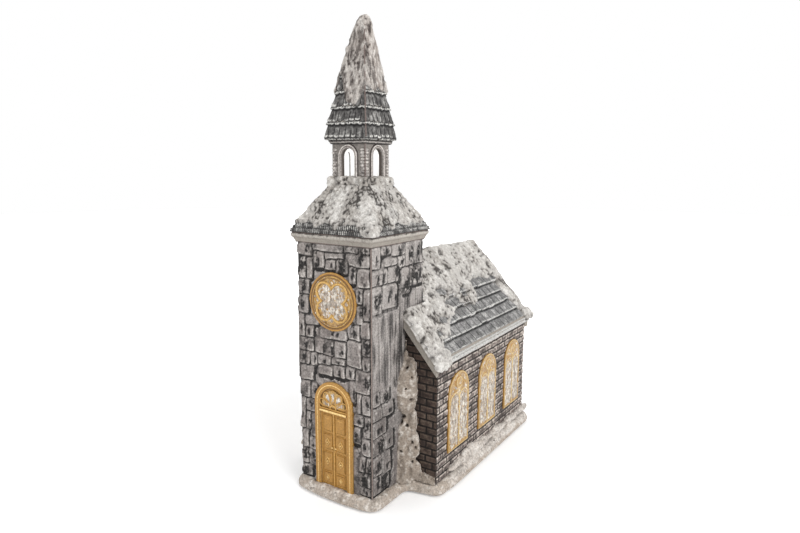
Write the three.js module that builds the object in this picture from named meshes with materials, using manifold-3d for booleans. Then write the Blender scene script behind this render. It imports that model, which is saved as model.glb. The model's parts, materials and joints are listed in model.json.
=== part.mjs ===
// Snow-covered village church in cast resin, lit from inside by two lamps.
// Millimetres, +Z up, door facing -Y, origin on the ground under the middle of the plinth.
import * as THREE from 'three';
import { mergeVertices } from 'three/addons/utils/BufferGeometryUtils.js';
import Module from 'manifold-3d';

// Clearances
const GLUE_GAP = 0.25;
const RUN_GAP = 0.4;

// Plinth and its pads
const PAD_THICKNESS = 0.8;
const PAD_RADIUS = 4.5;
const BASE_HEIGHT = 7.4;
const BASE_SLOPE = 3.4;
const BASE_CORNER = 9;
const FOOT_FRONT = 7.3;
const FOOT_SIDE = 6.2;
const FOOT_BACK = 7.9;
const TOWER_FOOT_SIDE = 5.8;
const BANK_DEPTH = 5.5;
const BANK_HEIGHT = 9;

// Tower
const TOWER_HALF = 30.2;
const TOWER_WALL = 5;
const TOWER_HEIGHT = 166.3;
const TOWER_INSET = 21.7;
const STONE_RELIEF = 0.5;
const GROOVE_HALF = 1.1;
const STONE_CHAMFER = 0.4;
const CORNICE_HEIGHT = 5.9;
const CORNICE_REACH = 2.8;
const CAP_HEIGHT = 30;
const CAP_WALL = 4;
const SHINGLE_BAND = 5.2;
const SHINGLE_STEP = 0.6;
const CAP_SNOW = 2.2;

// Belfry
const LEDGE_HALF = 15.6;
const LEDGE_HEIGHT = 5.8;
const BELFRY_HALF = 13.3;
const BELFRY_HEIGHT = 20.8;
const BELFRY_WALL = 2.6;
const BELFRY_ARCH_HALF = 5.3;
const BELFRY_HEAD = 2.6;
const ARCHIVOLT_WIDTH = 2;
const ARCHIVOLT_RELIEF = 0.7;
const MOULDING_REACH = 1.2;
const MOULDING_HEIGHT = 2.7;

// Spire
const SPIRE_HEIGHT = 70.3;
const SPIRE_HALF = 16.6;
const SPIRE_TIP_HALF = 2.1;
const SPIRE_COURSES = 7;
const SPIRE_STEP = 0.7;
const SPIRE_SHIFT = 2.6;
const SPIRE_SNOW_START = 30;
const SPIRE_SNOW = 1.2;
const SNOW_TIP = 8;

// Nave
const NAVE_HALF = 55.8;
const NAVE_LENGTH = 151.1;
const NAVE_WALL = 5;
const SIDE_WALL_HEIGHT = 84.8;
const ROOF_PITCH = 1.17;
const RIDGE_ROUNDING = 6.5;
const ROOF_THICKNESS = 4.3;
const ROOF_COURSES = 8;
const EAVE_STRIP = 1.4;
const COURSE_STEP = 1.3;
const EAVE_REACH = 1.7;
const VERGE_FRONT = 3.5;
const VERGE_BACK = 6.4;
const BARGE_DEPTH = 5.2;
const ROOF_SNOW = 3.4;

// Side windows
const WINDOW_COUNT = 3;
const WINDOW_HALF = 15;
const WINDOW_HEIGHT = 56.3;
const WINDOW_SILL = 17.3;
const END_PIER_FRONT = 14.3;
const END_PIER_BACK = 12.1;
const WINDOW_FRAME = 2.1;
const WINDOW_RELIEF = 1.2;
const MULLION = 1.9;
const PANE_THICKNESS = 2;
const PANE_LAP = 0.6;

// Door
const DOOR_HALF = 15.8;
const DOOR_HEIGHT = 74.5;
const DOOR_FRAME = 4.2;
const DOOR_RELIEF = 2.4;
const LEAF_HEIGHT = 52.2;
const LEAF_THICKNESS = 1;
const PANEL_RELIEF = 0.5;
const TRANSOM = 3;
const FAN_PETALS = 5;
const FAN_REBATE = 1.4;

// Round window
const ROSE_SHARE = 0.775;
const ROSE_RADIUS = 19.5;
const ROSE_RIM = 4;
const ROSE_RELIEF = 1.4;
const ROSE_MOULDING = 1.3;

// Closing plate, battery well and hatch
const RING_LEDGE = 8.8;
const COVER_LAP = 8;
const COVER_THICKNESS = 2.4;
const RECESS_DEPTH = 4.4;
const WELL_WALL = 1.4;
const CELL_RADIUS = 7.1;
const CELL_LENGTH = 50.5;
const CELL_NUB = 1.2;
const CONTACT_SPACE = 2.6;
const CONTACT_SHEET = 0.5;
const HATCH_THICKNESS = 2;
const TRUNNION_RADIUS = 0.6;
const TRUNNION_LENGTH = 1.8;

// Screws, switch, board and lamps
const SCREW_RADIUS = 1.3;
const SCREW_LENGTH = 8.5;
const SCREW_HEAD_RADIUS = 2.6;
const SCREW_HEAD_HEIGHT = 1.5;
const BOSS_RADIUS = 4;
const BOSS_HEIGHT = 5.5;
const SWITCH_TRAVEL = 2.5;
const SWITCH_LENGTH = 13;
const SWITCH_WIDTH = 6.6;
const SWITCH_HEIGHT = 5;
const KNOB_SIZE = 2.8;
const KNOB_PROUD = 1.2;
const KNOB_FLANGE = 1;
const SWITCH_SHARE = 0.6;
const BOARD_LENGTH = 26;
const BOARD_WIDTH = 20;
const BOARD_THICKNESS = 1.2;
const LAMP_RADIUS = 2.5;
const LAMP_HEIGHT = 8;
const HOLDER_RADIUS = 7;
const HOLDER_HEIGHT = 3.5;
const LEAD_RADIUS = 0.9;
const LEAD_X = 6;
const NOTCH_HALF = 3;
const NOTCH_HEIGHT = 5;

// Heights, stacked from the ground
const baseBottom = PAD_THICKNESS + GLUE_GAP;
const baseTop = baseBottom + BASE_HEIGHT;
const wallBottom = baseTop + GLUE_GAP;
const towerTop = wallBottom + TOWER_HEIGHT;
const corniceBottom = towerTop + GLUE_GAP;
const corniceTop = corniceBottom + CORNICE_HEIGHT;
const capBottom = corniceTop + GLUE_GAP;
const capTop = capBottom + CAP_HEIGHT;
const ledgeBottom = capTop + GLUE_GAP;
const ledgeTop = ledgeBottom + LEDGE_HEIGHT;
const belfryBottom = ledgeTop + GLUE_GAP;
const belfryTop = belfryBottom + BELFRY_HEIGHT;
const mouldingBottom = belfryTop + GLUE_GAP;
const mouldingTop = mouldingBottom + MOULDING_HEIGHT;
const spireBottom = mouldingTop + GLUE_GAP;
const spireTop = spireBottom + SPIRE_HEIGHT;
const snowTop = spireTop + SNOW_TIP;

// Plan, from front to back
const totalLength = FOOT_FRONT + 2 * TOWER_HALF - TOWER_INSET + NAVE_LENGTH + FOOT_BACK;
const baseFront = -totalLength / 2;
const baseBack = totalLength / 2;
const towerFront = baseFront + FOOT_FRONT;
const towerY = towerFront + TOWER_HALF;
const towerBack = towerY + TOWER_HALF;
const naveFront = towerBack - TOWER_INSET;
const naveBack = naveFront + NAVE_LENGTH;
const baseHalf = NAVE_HALF + FOOT_SIDE;
const hollowHalf = NAVE_HALF - NAVE_WALL;

// Roof lines: height of the roof over the ground at a distance from the ridge line
const rootAt = x => Math.hypot(x, RIDGE_ROUNDING);
const wallTop = wallBottom + SIDE_WALL_HEIGHT;
const underside = x => wallTop + GLUE_GAP + ROOF_PITCH * (rootAt(NAVE_HALF) - rootAt(x));
const roofSkin = x => underside(x) + ROOF_THICKNESS;
const eaveHalf = NAVE_HALF + EAVE_REACH;
const slantGap = GLUE_GAP * Math.hypot(1, ROOF_PITCH);
const vergeFront = naveFront - VERGE_FRONT;
const vergeBack = naveBack + VERGE_BACK;

// Closing plate and well
const openFront = towerBack + RING_LEDGE;
const openBack = naveBack - NAVE_WALL - RING_LEDGE;
const openHalf = hollowHalf - RING_LEDGE;
const coverHalf = openHalf + COVER_LAP;
const switchX = -coverHalf * SWITCH_SHARE;
const coverFront = openFront - COVER_LAP;
const coverBack = openBack + COVER_LAP;
const ledgeUnder = baseBottom + RECESS_DEPTH;
const coverTop = ledgeUnder - GLUE_GAP;
const coverBottom = coverTop - COVER_THICKNESS;
const wellY = (openFront + openBack) / 2;
const wellHalf = 2 * CELL_RADIUS + 1;
const wellFront = wellY - CELL_LENGTH / 2 - CONTACT_SPACE;
const wellBack = wellY + CELL_LENGTH / 2 + CONTACT_SPACE;
const hatchMiddle = coverBottom + COVER_THICKNESS / 2;
const hatchTop = hatchMiddle + HATCH_THICKNESS / 2;
const cellZ = hatchTop + GLUE_GAP + CELL_RADIUS;
const wellCeiling = cellZ + CELL_RADIUS + RUN_GAP;
const wellTop = wellCeiling + WELL_WALL;

const wasm = await Module();
wasm.setup();

// A closed geometry as a solid that can be joined and cut
function solidOf(geometry) {
  const bare = geometry.clone();
  bare.deleteAttribute('normal');
  bare.deleteAttribute('uv');
  const merged = mergeVertices(bare, 1e-4);
  return new wasm.Manifold(new wasm.Mesh({
    numProp: 3,
    vertProperties: new Float32Array(merged.attributes.position.array),
    triVerts: new Uint32Array(merged.index.array),
  }));
}

// The joined or cut solid as a geometry again
function geometryOf(solid) {
  const mesh = solid.getMesh();
  const geometry = new THREE.BufferGeometry();
  geometry.setAttribute('position', new THREE.BufferAttribute(new Float32Array(mesh.vertProperties), 3));
  geometry.setIndex(new THREE.BufferAttribute(new Uint32Array(mesh.triVerts), 1));
  geometry.computeVertexNormals();
  return geometry;
}

// The first geometry with the others added to it
function joined(first, ...others) {
  return geometryOf(others.reduce((sum, other) => sum.add(solidOf(other)), solidOf(first)));
}

// The first geometry with the others taken away from it
function cut(first, ...others) {
  return geometryOf(others.reduce((rest, other) => rest.subtract(solidOf(other)), solidOf(first)));
}

function block(x0, x1, y0, y1, z0, z1) {
  const geometry = new THREE.BoxGeometry(x1 - x0, y1 - y0, z1 - z0);
  return geometry.translate((x0 + x1) / 2, (y0 + y1) / 2, (z0 + z1) / 2);
}

// Outline with a fillet at each corner; corners are [x, y, radius]
function filletPoints(corners, steps = 4) {
  return corners.flatMap(([x, y, radius], i) => {
    const [px, py] = corners[(i + corners.length - 1) % corners.length];
    const [nx, ny] = corners[(i + 1) % corners.length];
    const corner = new THREE.Vector2(x, y);
    const before = new THREE.Vector2(px - x, py - y).setLength(radius).add(corner);
    const after = new THREE.Vector2(nx - x, ny - y).setLength(radius).add(corner);
    return new THREE.QuadraticBezierCurve(before, corner, after).getPoints(steps);
  });
}

const filleted = corners => new THREE.Shape(filletPoints(corners));

function rectangle(halfX, y0, y1, radius) {
  return filleted([[-halfX, y0, radius], [halfX, y0, radius], [halfX, y1, radius], [-halfX, y1, radius]]);
}

// Outline with its curves as points, and none twice
function sampled(shape, curveSegments) {
  const points = shape.getPoints(curveSegments);
  return new THREE.Shape(points.filter((point, i) => point.distanceTo(points[(i + 1) % points.length]) > 1e-5));
}

// Outline lying flat, raised from z0 to z1
function slab(shape, z0, z1, curveSegments = 5) {
  const outline = sampled(shape, curveSegments);
  const geometry = new THREE.ExtrudeGeometry(outline, { depth: z1 - z0, bevelEnabled: false });
  return geometry.translate(0, 0, z0);
}

// Directions of a wall: along it, up, and out of it
const WALLS = {
  front: [[1, 0, 0], [0, 0, 1], [0, -1, 0]],
  right: [[0, 1, 0], [0, 0, 1], [1, 0, 0]],
  left: [[0, -1, 0], [0, 0, 1], [-1, 0, 0]],
  back: [[-1, 0, 0], [0, 0, 1], [0, 1, 0]],
};

// Outline drawn on a wall, raised outwards from one distance to another
function onWall(wall, shape, from, to, curveSegments = 8) {
  const outline = sampled(shape, curveSegments);
  const geometry = new THREE.ExtrudeGeometry(outline, { depth: to - from, bevelEnabled: false });
  geometry.translate(0, 0, from);
  const axes = WALLS[wall].map(axis => new THREE.Vector3(...axis));
  return geometry.applyMatrix4(new THREE.Matrix4().makeBasis(...axes));
}

// Plate on a wall with openings cut through it
function pierced(wall, outline, openings, from, to, curveSegments = 8) {
  const holes = openings.map(opening => onWall(wall, opening, from - 1, to + 1, curveSegments));
  return cut(onWall(wall, outline, from, to, curveSegments), ...holes);
}

// Arched outline: straight sides up to the spring, then half an ellipse
function arch(half, bottom, spring, rise, x = 0) {
  const shape = new THREE.Shape();
  shape.moveTo(x - half, bottom);
  shape.lineTo(x + half, bottom);
  shape.lineTo(x + half, spring);
  shape.absellipse(x, spring, half, rise, 0, Math.PI, false, 0);
  shape.closePath();
  return shape;
}

function disc(x, y, radius) {
  const shape = new THREE.Shape();
  shape.absarc(x, y, radius, 0, 2 * Math.PI, false);
  return shape;
}

// Upright cylinder
function post(x, y, z0, z1, radius, sides = 20) {
  const geometry = new THREE.CylinderGeometry(radius, radius, z1 - z0, sides);
  return geometry.rotateX(Math.PI / 2).translate(x, y, (z0 + z1) / 2);
}

// Solid through rings of points; the rings run anticlockwise seen from the end of the stack
function loft(rings, flat = ([x, y]) => new THREE.Vector2(x, y)) {
  const count = rings[0].length;
  const index = [];
  for (let level = 0; level + 1 < rings.length; level++) {
    for (let i = 0; i < count; i++) {
      const a = level * count + i;
      const b = level * count + (i + 1) % count;
      index.push(a, b, b + count, a, b + count, a + count);
    }
  }
  const last = (rings.length - 1) * count;
  for (const [a, b, c] of THREE.ShapeUtils.triangulateShape(rings[0].map(flat), [])) index.push(a, c, b);
  for (const [a, b, c] of THREE.ShapeUtils.triangulateShape(rings.at(-1).map(flat), [])) {
    index.push(last + a, last + b, last + c);
  }
  return meshed(rings.flat(2), index);
}

// Solid through rings that close on the first ring again, such as the wall of a tube
function ringLoop(rings) {
  const count = rings[0].length;
  const index = [];
  for (let level = 0; level < rings.length; level++) {
    const next = (level + 1) % rings.length;
    for (let i = 0; i < count; i++) {
      const j = (i + 1) % count;
      index.push(level * count + i, level * count + j, next * count + j);
      index.push(level * count + i, next * count + j, next * count + i);
    }
  }
  return meshed(rings.flat(2), index);
}

function meshed(positions, index) {
  const geometry = new THREE.BufferGeometry();
  geometry.setAttribute('position', new THREE.Float32BufferAttribute(positions, 3));
  geometry.setIndex(index);
  geometry.computeVertexNormals();
  return geometry;
}

// The same piece on the other side of the middle plane
function mirrored(geometry) {
  const copy = geometry.clone().scale(-1, 1, 1);
  const order = Array.from(copy.index.array);
  for (let i = 0; i < order.length; i += 3) [order[i + 1], order[i + 2]] = [order[i + 2], order[i + 1]];
  copy.setIndex(order);
  copy.computeVertexNormals();
  return copy;
}

// Point on a square's outline; turns 0 to 4 run from the front left corner along front, right, back, left
function squarePoint(turn, half) {
  const side = Math.floor(turn) % 4;
  const along = (turn - Math.floor(turn)) * 2 * half - half;
  return [[along, -half], [half, along], [-along, half], [-half, -along]][side];
}

function squareRing(half, z, steps = 1, x = 0, y = towerY) {
  return Array.from({ length: 4 * steps }, (_, i) => {
    const [px, py] = squarePoint(i / steps, half);
    return [x + px, y + py, z];
  });
}

// Value at a place between named stops [place, value]
function between(stops, at) {
  const next = stops.findIndex(([place]) => place >= at);
  if (next <= 0) return stops[next < 0 ? stops.length - 1 : 0][1];
  const [a, va] = stops[next - 1];
  const [b, vb] = stops[next];
  return va + (vb - va) * (at - a) / (b - a);
}

// Soft unevenness of snow, from -1 to 1
function lump(a, b) {
  return (Math.sin(a * 1.7 + 0.6 * Math.sin(b)) + Math.sin(b * 2.1 + a) + Math.sin(a * 0.9 - b * 1.3)) / 3;
}

const resin = (color, roughness = 0.8) => new THREE.MeshStandardMaterial({ color, roughness, metalness: 0 });
const MATERIALS = {
  stone: resin(0x8b8788),
  brick: resin(0x6d6266),
  slate: resin(0x85898a),
  plaster: resin(0xa39d98),
  snow: resin(0xcfc6c0, 0.9),
  gold: new THREE.MeshStandardMaterial({ color: 0xc9973a, roughness: 0.4, metalness: 0.8 }),
  glitter: new THREE.MeshStandardMaterial({ color: 0xd9d0cc, roughness: 0.35, metalness: 0.1 }),
  plastic: resin(0x2b2b2d, 0.5),
  board: resin(0x2f6b45, 0.5),
  steel: new THREE.MeshStandardMaterial({ color: 0xb8b8ba, roughness: 0.3, metalness: 1 }),
  cell: new THREE.MeshStandardMaterial({ color: 0x3f5f8c, roughness: 0.35, metalness: 0.5 }),
  lens: new THREE.MeshStandardMaterial({ color: 0xf2e6c0, roughness: 0.2, metalness: 0 }),
  pad: resin(0x3a3a3a, 0.95),
  lead: resin(0x8e2f2b, 0.5),
};

const church = new THREE.Group();

function add(name, geometry, material) {
  const mesh = new THREE.Mesh(geometry, MATERIALS[material]);
  mesh.name = name;
  church.add(mesh);
}

// Plinth: the outline follows tower and nave, with a sloping rim of snow
function baseOutline(inset) {
  const front = baseFront + inset;
  const back = baseBack - inset;
  const side = baseHalf - inset;
  const foot = TOWER_HALF + TOWER_FOOT_SIDE - inset;
  const shoulder = naveFront + inset / 2;
  const round = BASE_CORNER - inset / 2;
  const right = [
    [foot / 3, front, 10], [foot, front + 3, round], [foot, shoulder - BANK_DEPTH - 1, 5],
    [side - 2, shoulder - BANK_DEPTH / 3, 6], [side, shoulder + 2 * BASE_CORNER, 8], [side, back, round],
  ];
  const left = right.map(([x, y, radius]) => [-x, y, radius]).reverse();
  return filletPoints([...right, ...left], 3);
}

function basePlinth() {
  const levels = [[0, 0.5], [0.25, 0], [0.55, 0.6], [0.85, BASE_SLOPE * 0.6], [1, BASE_SLOPE]];
  const rings = levels.map(([rise, inset]) => (
    baseOutline(inset).map(({ x, y }) => [x, y, baseBottom + rise * BASE_HEIGHT])
  ));
  const middle = (openFront + openBack) / 2;
  const opening = rectangle(openHalf, openFront - middle, openBack - middle, 6);
  const recess = rectangle(coverHalf + GLUE_GAP, coverFront - GLUE_GAP, coverBack + GLUE_GAP, 6);
  const body = cut(
    loft(rings),
    slab(recess, baseBottom - 1, ledgeUnder),
    slab(opening, ledgeUnder - 1, baseTop + 1).translate(0, middle, 0),
  );
  const bosses = screwPlaces.map(([x, y]) => post(x, y, baseTop - 1, baseTop + BOSS_HEIGHT, BOSS_RADIUS));
  const pilots = screwPlaces.map(([x, y]) => (
    post(x, y, baseBottom, coverBottom + SCREW_LENGTH + GLUE_GAP, SCREW_RADIUS + GLUE_GAP, 12)
  ));
  return cut(joined(body, ...bosses), ...pilots);
}

const screwX = (openHalf + hollowHalf) / 2;
const screwPlaces = [-1, 1].flatMap(side => [
  [side * screwX, openFront - RING_LEDGE / 2],
  [side * screwX, openBack + RING_LEDGE / 2],
]);

function addBase() {
  add('base_plinth', basePlinth(), 'snow');
  const padX = TOWER_HALF - PAD_RADIUS;
  const padFront = towerFront + PAD_RADIUS;
  const padBack = (coverBack + GLUE_GAP + baseBack) / 2;
  const places = [[-padX, padFront], [padX, padFront], [-coverHalf, padBack], [coverHalf, padBack]];
  places.forEach(([x, y], i) => add(`foot_pad_${i + 1}`, post(x, y, 0, PAD_THICKNESS, PAD_RADIUS, 24), 'pad'));
}

// Tower walls, with the window hole, the fanlight hole and a notch for the lead
const doorSpring = wallBottom + DOOR_HEIGHT - DOOR_HALF;
const openingHalf = DOOR_HALF - DOOR_FRAME;
const fanBottom = wallBottom + LEAF_HEIGHT + GLUE_GAP;
const fanRadius = openingHalf - GLUE_GAP;
const fanSpring = fanBottom + TRANSOM;
const fanRise = doorSpring + DOOR_HALF - DOOR_FRAME - GLUE_GAP - fanSpring;
const roseZ = wallBottom + TOWER_HEIGHT * ROSE_SHARE;
const roseHole = ROSE_RADIUS - ROSE_RIM;

// Stones that stand out of the tower's walls, between the middles of their grooves: [left, right, bottom, top],
// drawn on a wall 60.4 wide and 166.3 high; the side walls run from the front to the back
const frontStones = [
  [-30.2, -16.8, 156.8, 166.3], [-16.8, 9.6, 160.9, 166.3], [9.6, 21.4, 161.3, 166.3], [21.4, 30.2, 161.3, 166.3],
  [-16.8, -6.4, 149.3, 160.9], [-6.4, 3, 148.9, 156.6], [-6.4, 9.6, 156.6, 160.9], [3, 12.6, 147.3, 156.6],
  [12.6, 30.2, 152.8, 161.3], [12.6, 19.6, 141.3, 152.8], [19.6, 30.2, 139.9, 152.8], [-30.2, -22.4, 141.3, 156.8],
  [-22.4, -16.8, 141.3, 156.8], [-30.2, -19.6, 130.5, 141.3], [-30.2, -20.8, 117.3, 130.5],
  [18.6, 24.4, 128.9, 139.9], [24.4, 30.2, 118.9, 139.9], [18.8, 24.4, 115.9, 128.9], [-24.6, -11.5, 110.5, 117.3],
  [-30.2, -24.6, 101.3, 117.3], [11.8, 22, 104.9, 115.9], [22, 30.2, 107.3, 118.9], [-11.5, 11.8, 102.7, 110.5],
  [-24.6, -16.6, 101.3, 110.5], [-16.6, 0, 91.5, 102.7], [0, 10.8, 90.9, 102.7], [10.8, 23.2, 87.1, 104.9],
  [23.2, 30.2, 95.5, 107.3], [-30.2, -16.6, 91.5, 101.3], [23.2, 30.2, 86.3, 95.5], [-30.2, -20.6, 81.9, 91.5],
  [-20.6, -14, 81.9, 91.5], [-14, -2.4, 84.1, 91.5], [-2.4, 10, 86.1, 90.9], [-14, -0.4, 76.9, 84.1],
  [-0.4, 10, 77.3, 86.1], [10, 17.8, 77.9, 87.1], [17.8, 30.2, 70.7, 86.3], [-30.2, -17.4, 70.7, 81.9],
  [13, 18.8, 62.5, 77.9], [22.8, 30.2, 56.1, 70.7], [18.8, 22.8, 56.1, 70.7], [-30.2, -20.6, 58.3, 70.7],
  [-20.6, -14, 58.3, 70.7], [-25.6, -15, 48.7, 58.3], [-30.2, -25.6, 34.7, 58.3], [-25.6, -20.8, 34.7, 48.7],
  [-20.8, -15, 30.3, 48.7], [15, 24.4, 47.5, 56.1], [24.4, 30.2, 40.7, 56.1], [15, 22.2, 34.7, 47.5],
  [22.2, 30.2, 28.1, 40.7], [-30.2, -23, 20.9, 34.7], [-23, -15, 20.9, 30.3], [20.2, 25.6, 16.3, 28.1],
  [25.6, 30.2, 16.9, 28.1], [-30.2, -23.8, 8.9, 20.9], [-23.8, -15, 8.9, 20.9], [20.8, 30.2, 6.5, 16.3],
  [-30.2, -20, 0.3, 8.9], [20.8, 30.2, 0.3, 6.5],
];
const sideStones = [
  [-30.2, -20.6, 151.6, 166.3], [-20.6, -8, 159.3, 166.3], [-16.5, -1.5, 151.6, 157.8], [-8, 8, 157.8, 166.3],
  [8, 18.2, 149.3, 166.3], [18.2, 30.2, 149.3, 166.3], [-1.5, 8, 149.5, 157.8], [-30.2, -13, 140.7, 151.6],
  [-13, 3.6, 140.7, 151.6], [3.6, 13.8, 130.3, 149.3], [13.8, 18.4, 134.8, 149.3], [18.4, 30.2, 134.8, 149.3],
  [-30.2, -19, 122.3, 140.7], [-19, -1.5, 123.8, 140.7], [-30.2, -21, 61.5, 71.9], [-21, -11, 61.5, 71.9],
  [-30.2, -19, 51.7, 61.5], [-19, -6, 51.7, 61.5], [-30.2, -14, 40.5, 51.7], [-30.2, -16, 27.9, 40.5],
  [-16, -6, 27.9, 40.5], [-30.2, -19.6, 13.3, 27.9], [-19.6, -9, 11.3, 27.9], [-30.2, -19.6, 0.5, 13.3],
  [-19.6, -11, 0.5, 11.3],
];

// One stone: a plate with slanting sides, rooted in the wall
function stone(wall, [left, right, bottom, top], out) {
  const wide = TOWER_HALF / 30.2;
  const high = TOWER_HEIGHT / 166.3;
  const ring = (inset, level) => {
    const [x0, x1] = [left * wide + inset, right * wide - inset];
    const [z0, z1] = [wallBottom + bottom * high + inset, wallBottom + top * high - inset];
    return [[x0, z0], [x1, z0], [x1, z1], [x0, z1]].map(([x, z]) => new THREE.Vector3(x, z, level));
  };
  const rings = [
    ring(GROOVE_HALF, out - 1), ring(GROOVE_HALF, out), ring(GROOVE_HALF + STONE_CHAMFER, out + STONE_RELIEF),
  ];
  const axes = WALLS[wall].map(axis => new THREE.Vector3(...axis));
  return loft(rings.map(points => points.map(point => point.toArray())))
    .applyMatrix4(new THREE.Matrix4().makeBasis(...axes));
}

// All stones of the front and of both sides, clear of the door, the round window, the drifts and the roof
function towerStones() {
  const front = frontStones.map(cell => stone('front', cell, -towerFront));
  const right = sideStones.map(cell => stone('right', cell, TOWER_HALF).translate(0, towerY, 0));
  const surround = arch(DOOR_HALF + GROOVE_HALF, wallBottom - 1, doorSpring, DOOR_HALF + GROOVE_HALF);
  const rose = disc(0, roseZ, ROSE_RADIUS + GROOVE_HALF);
  const near = [surround, rose].map(shape => onWall('front', shape, -towerFront - 2, -towerFront + 2, 12));
  const sides = [...right, ...right.map(mirrored)];
  return [joined(cut(joined(...front), ...near), ...sides)];
}

function towerShell() {
  const inner = TOWER_HALF - TOWER_WALL;
  const tube = cut(
    block(-TOWER_HALF, TOWER_HALF, towerFront, towerBack, wallBottom, towerTop),
    block(-inner, inner, towerFront + TOWER_WALL, towerBack - TOWER_WALL, wallBottom - 1, towerTop + 1),
  );
  const fanFoot = fanSpring + FAN_REBATE;
  const fan = arch(fanRadius - FAN_REBATE, fanFoot, fanFoot, fanRise - 2 * FAN_REBATE);
  return cut(
    joined(tube, ...towerStones()),
    onWall('front', disc(0, roseZ, roseHole), -towerFront - TOWER_WALL - 1, -towerFront + 1, 12),
    onWall('front', fan, -towerFront - TOWER_WALL - 1, -towerFront + 1, 12),
    block(LEAD_X - NOTCH_HALF, LEAD_X + NOTCH_HALF, towerBack - TOWER_WALL - 1, towerBack + 1, wallBottom - 1,
      wallBottom + NOTCH_HEIGHT),
  );
}

// Half width of the cap over its bottom edge, without the shingle steps
const capProfile = [
  [0, 1], [0.12, 0.955], [0.26, 0.84], [0.45, 0.735], [0.63, 0.63], [0.76, 0.545], [0.88, 0.46], [1, 0.41],
];
const eaveCap = TOWER_HALF + CORNICE_REACH;
const capHalf = z => eaveCap * between(capProfile, (z - capBottom) / CAP_HEIGHT);

function towerCap() {
  const rings = [squareRing(eaveCap - SHINGLE_STEP, capBottom)];
  for (const row of [0, 1]) {
    const low = capBottom + row * SHINGLE_BAND / 2;
    const high = low + SHINGLE_BAND / 2;
    rings.push(squareRing(capHalf(low) + SHINGLE_STEP / 2, low + SHINGLE_STEP * 0.7));
    rings.push(squareRing(capHalf(high) + SHINGLE_STEP / 2, high));
  }
  capProfile.filter(([rise]) => rise * CAP_HEIGHT > SHINGLE_BAND + 1)
    .forEach(([rise, share]) => rings.push(squareRing(eaveCap * share, capBottom + rise * CAP_HEIGHT)));
  const hollow = capProfile.slice(0, -1).map(([rise, share]) => (
    squareRing(eaveCap * share - CAP_WALL * 1.3, capBottom + rise * CAP_HEIGHT - (rise === 0 ? 1 : 0))
  ));
  return cut(loft(rings), loft(hollow));
}

// Lower edge of the snow at a place round a square form; drips are [turn, width, length]
function snowLow(spec, turn) {
  return spec.low - spec.drips.reduce((sum, [at, width, length]) => {
    const away = Math.min(Math.abs(turn - at), 4 - Math.abs(turn - at)) / width;
    return sum + length * Math.exp(-away * away);
  }, 0);
}

// Rings of the snow's outer and inner face, from the hanging edge to the top and back
function snowShell(spec, steps, levels) {
  const ringAt = (share, outer) => Array.from({ length: 4 * steps }, (_, i) => {
    const turn = i / steps;
    const low = snowLow(spec, turn);
    const z = low + (spec.top - low) * share;
    const rise = (z - spec.low) / (spec.top - spec.low) * spec.waves;
    const thick = spec.thickness * (0.45 + 0.55 * Math.min(1, share * 4)) * (1 + 0.3 * lump(turn * 5, rise));
    const half = spec.half(z) + GLUE_GAP + (outer ? thick : 0);
    const [x, y] = squarePoint(turn, half);
    return [x + spec.lean(z), towerY + y, z];
  });
  const shares = Array.from({ length: levels + 1 }, (_, i) => i / levels);
  const outer = shares.map(share => ringAt(share, true));
  const inner = shares.map(share => ringAt(share, false)).reverse();
  return { outer, inner };
}

function capSnow() {
  const spec = {
    low: capBottom + SHINGLE_BAND + SHINGLE_STEP,
    top: capTop - GLUE_GAP,
    waves: 6,
    thickness: CAP_SNOW,
    half: z => capHalf(z) + SHINGLE_STEP,
    lean: () => 0,
    drips: [
      [0.62, 0.06, 2.6], [0.98, 0.1, 4.2], [1.25, 0.1, 2.8], [1.8, 0.12, 2], [2.6, 0.15, 3], [3.4, 0.12, 3],
    ],
  };
  const { outer, inner } = snowShell(spec, 10, 5);
  return ringLoop([...outer, ...inner]);
}

function addTower() {
  add('tower_shell', towerShell(), 'stone');
  const ring = [
    [TOWER_HALF + 1.2, 0], [TOWER_HALF + 1.8, 0.25], [eaveCap - 0.4, 0.6], [eaveCap, 0.8], [eaveCap, 1],
  ].map(([half, rise]) => squareRing(half, corniceBottom + rise * CORNICE_HEIGHT));
  const through = TOWER_HALF - TOWER_WALL;
  const hole = block(-through, through, towerY - through, towerY + through, corniceBottom - 1, corniceTop + 1);
  add('tower_cornice', cut(loft(ring), hole), 'plaster');
  add('tower_cap', towerCap(), 'slate');
  add('cap_snow', capSnow(), 'snow');
}

// Belfry: ledge, open box with four arches, and the moulding over it
function belfryArcade() {
  const spring = belfryTop - BELFRY_HEAD - BELFRY_ARCH_HALF;
  const face = BELFRY_HALF;
  const opening = arch(BELFRY_ARCH_HALF, belfryBottom - 1, spring, BELFRY_ARCH_HALF);
  const outer = BELFRY_ARCH_HALF + ARCHIVOLT_WIDTH;
  const rim = arch(outer, belfryBottom, spring, BELFRY_ARCH_HALF + ARCHIVOLT_WIDTH * 0.9);
  const rims = Object.keys(WALLS).map(wall => (
    onWall(wall, rim, face - 1, face + ARCHIVOLT_RELIEF, 6).translate(0, towerY, 0)
  ));
  const inner = BELFRY_HALF - BELFRY_WALL;
  const body = joined(loft([squareRing(face, belfryBottom), squareRing(face, belfryTop)]), ...rims);
  return cut(
    body,
    onWall('front', opening, -face - 2, face + 2, 6).translate(0, towerY, 0),
    onWall('right', opening, -face - 2, face + 2, 6).translate(0, towerY, 0),
    block(-inner, inner, towerY - inner, towerY + inner, belfryBottom - 1, spring + BELFRY_ARCH_HALF * 0.6),
  );
}

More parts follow.
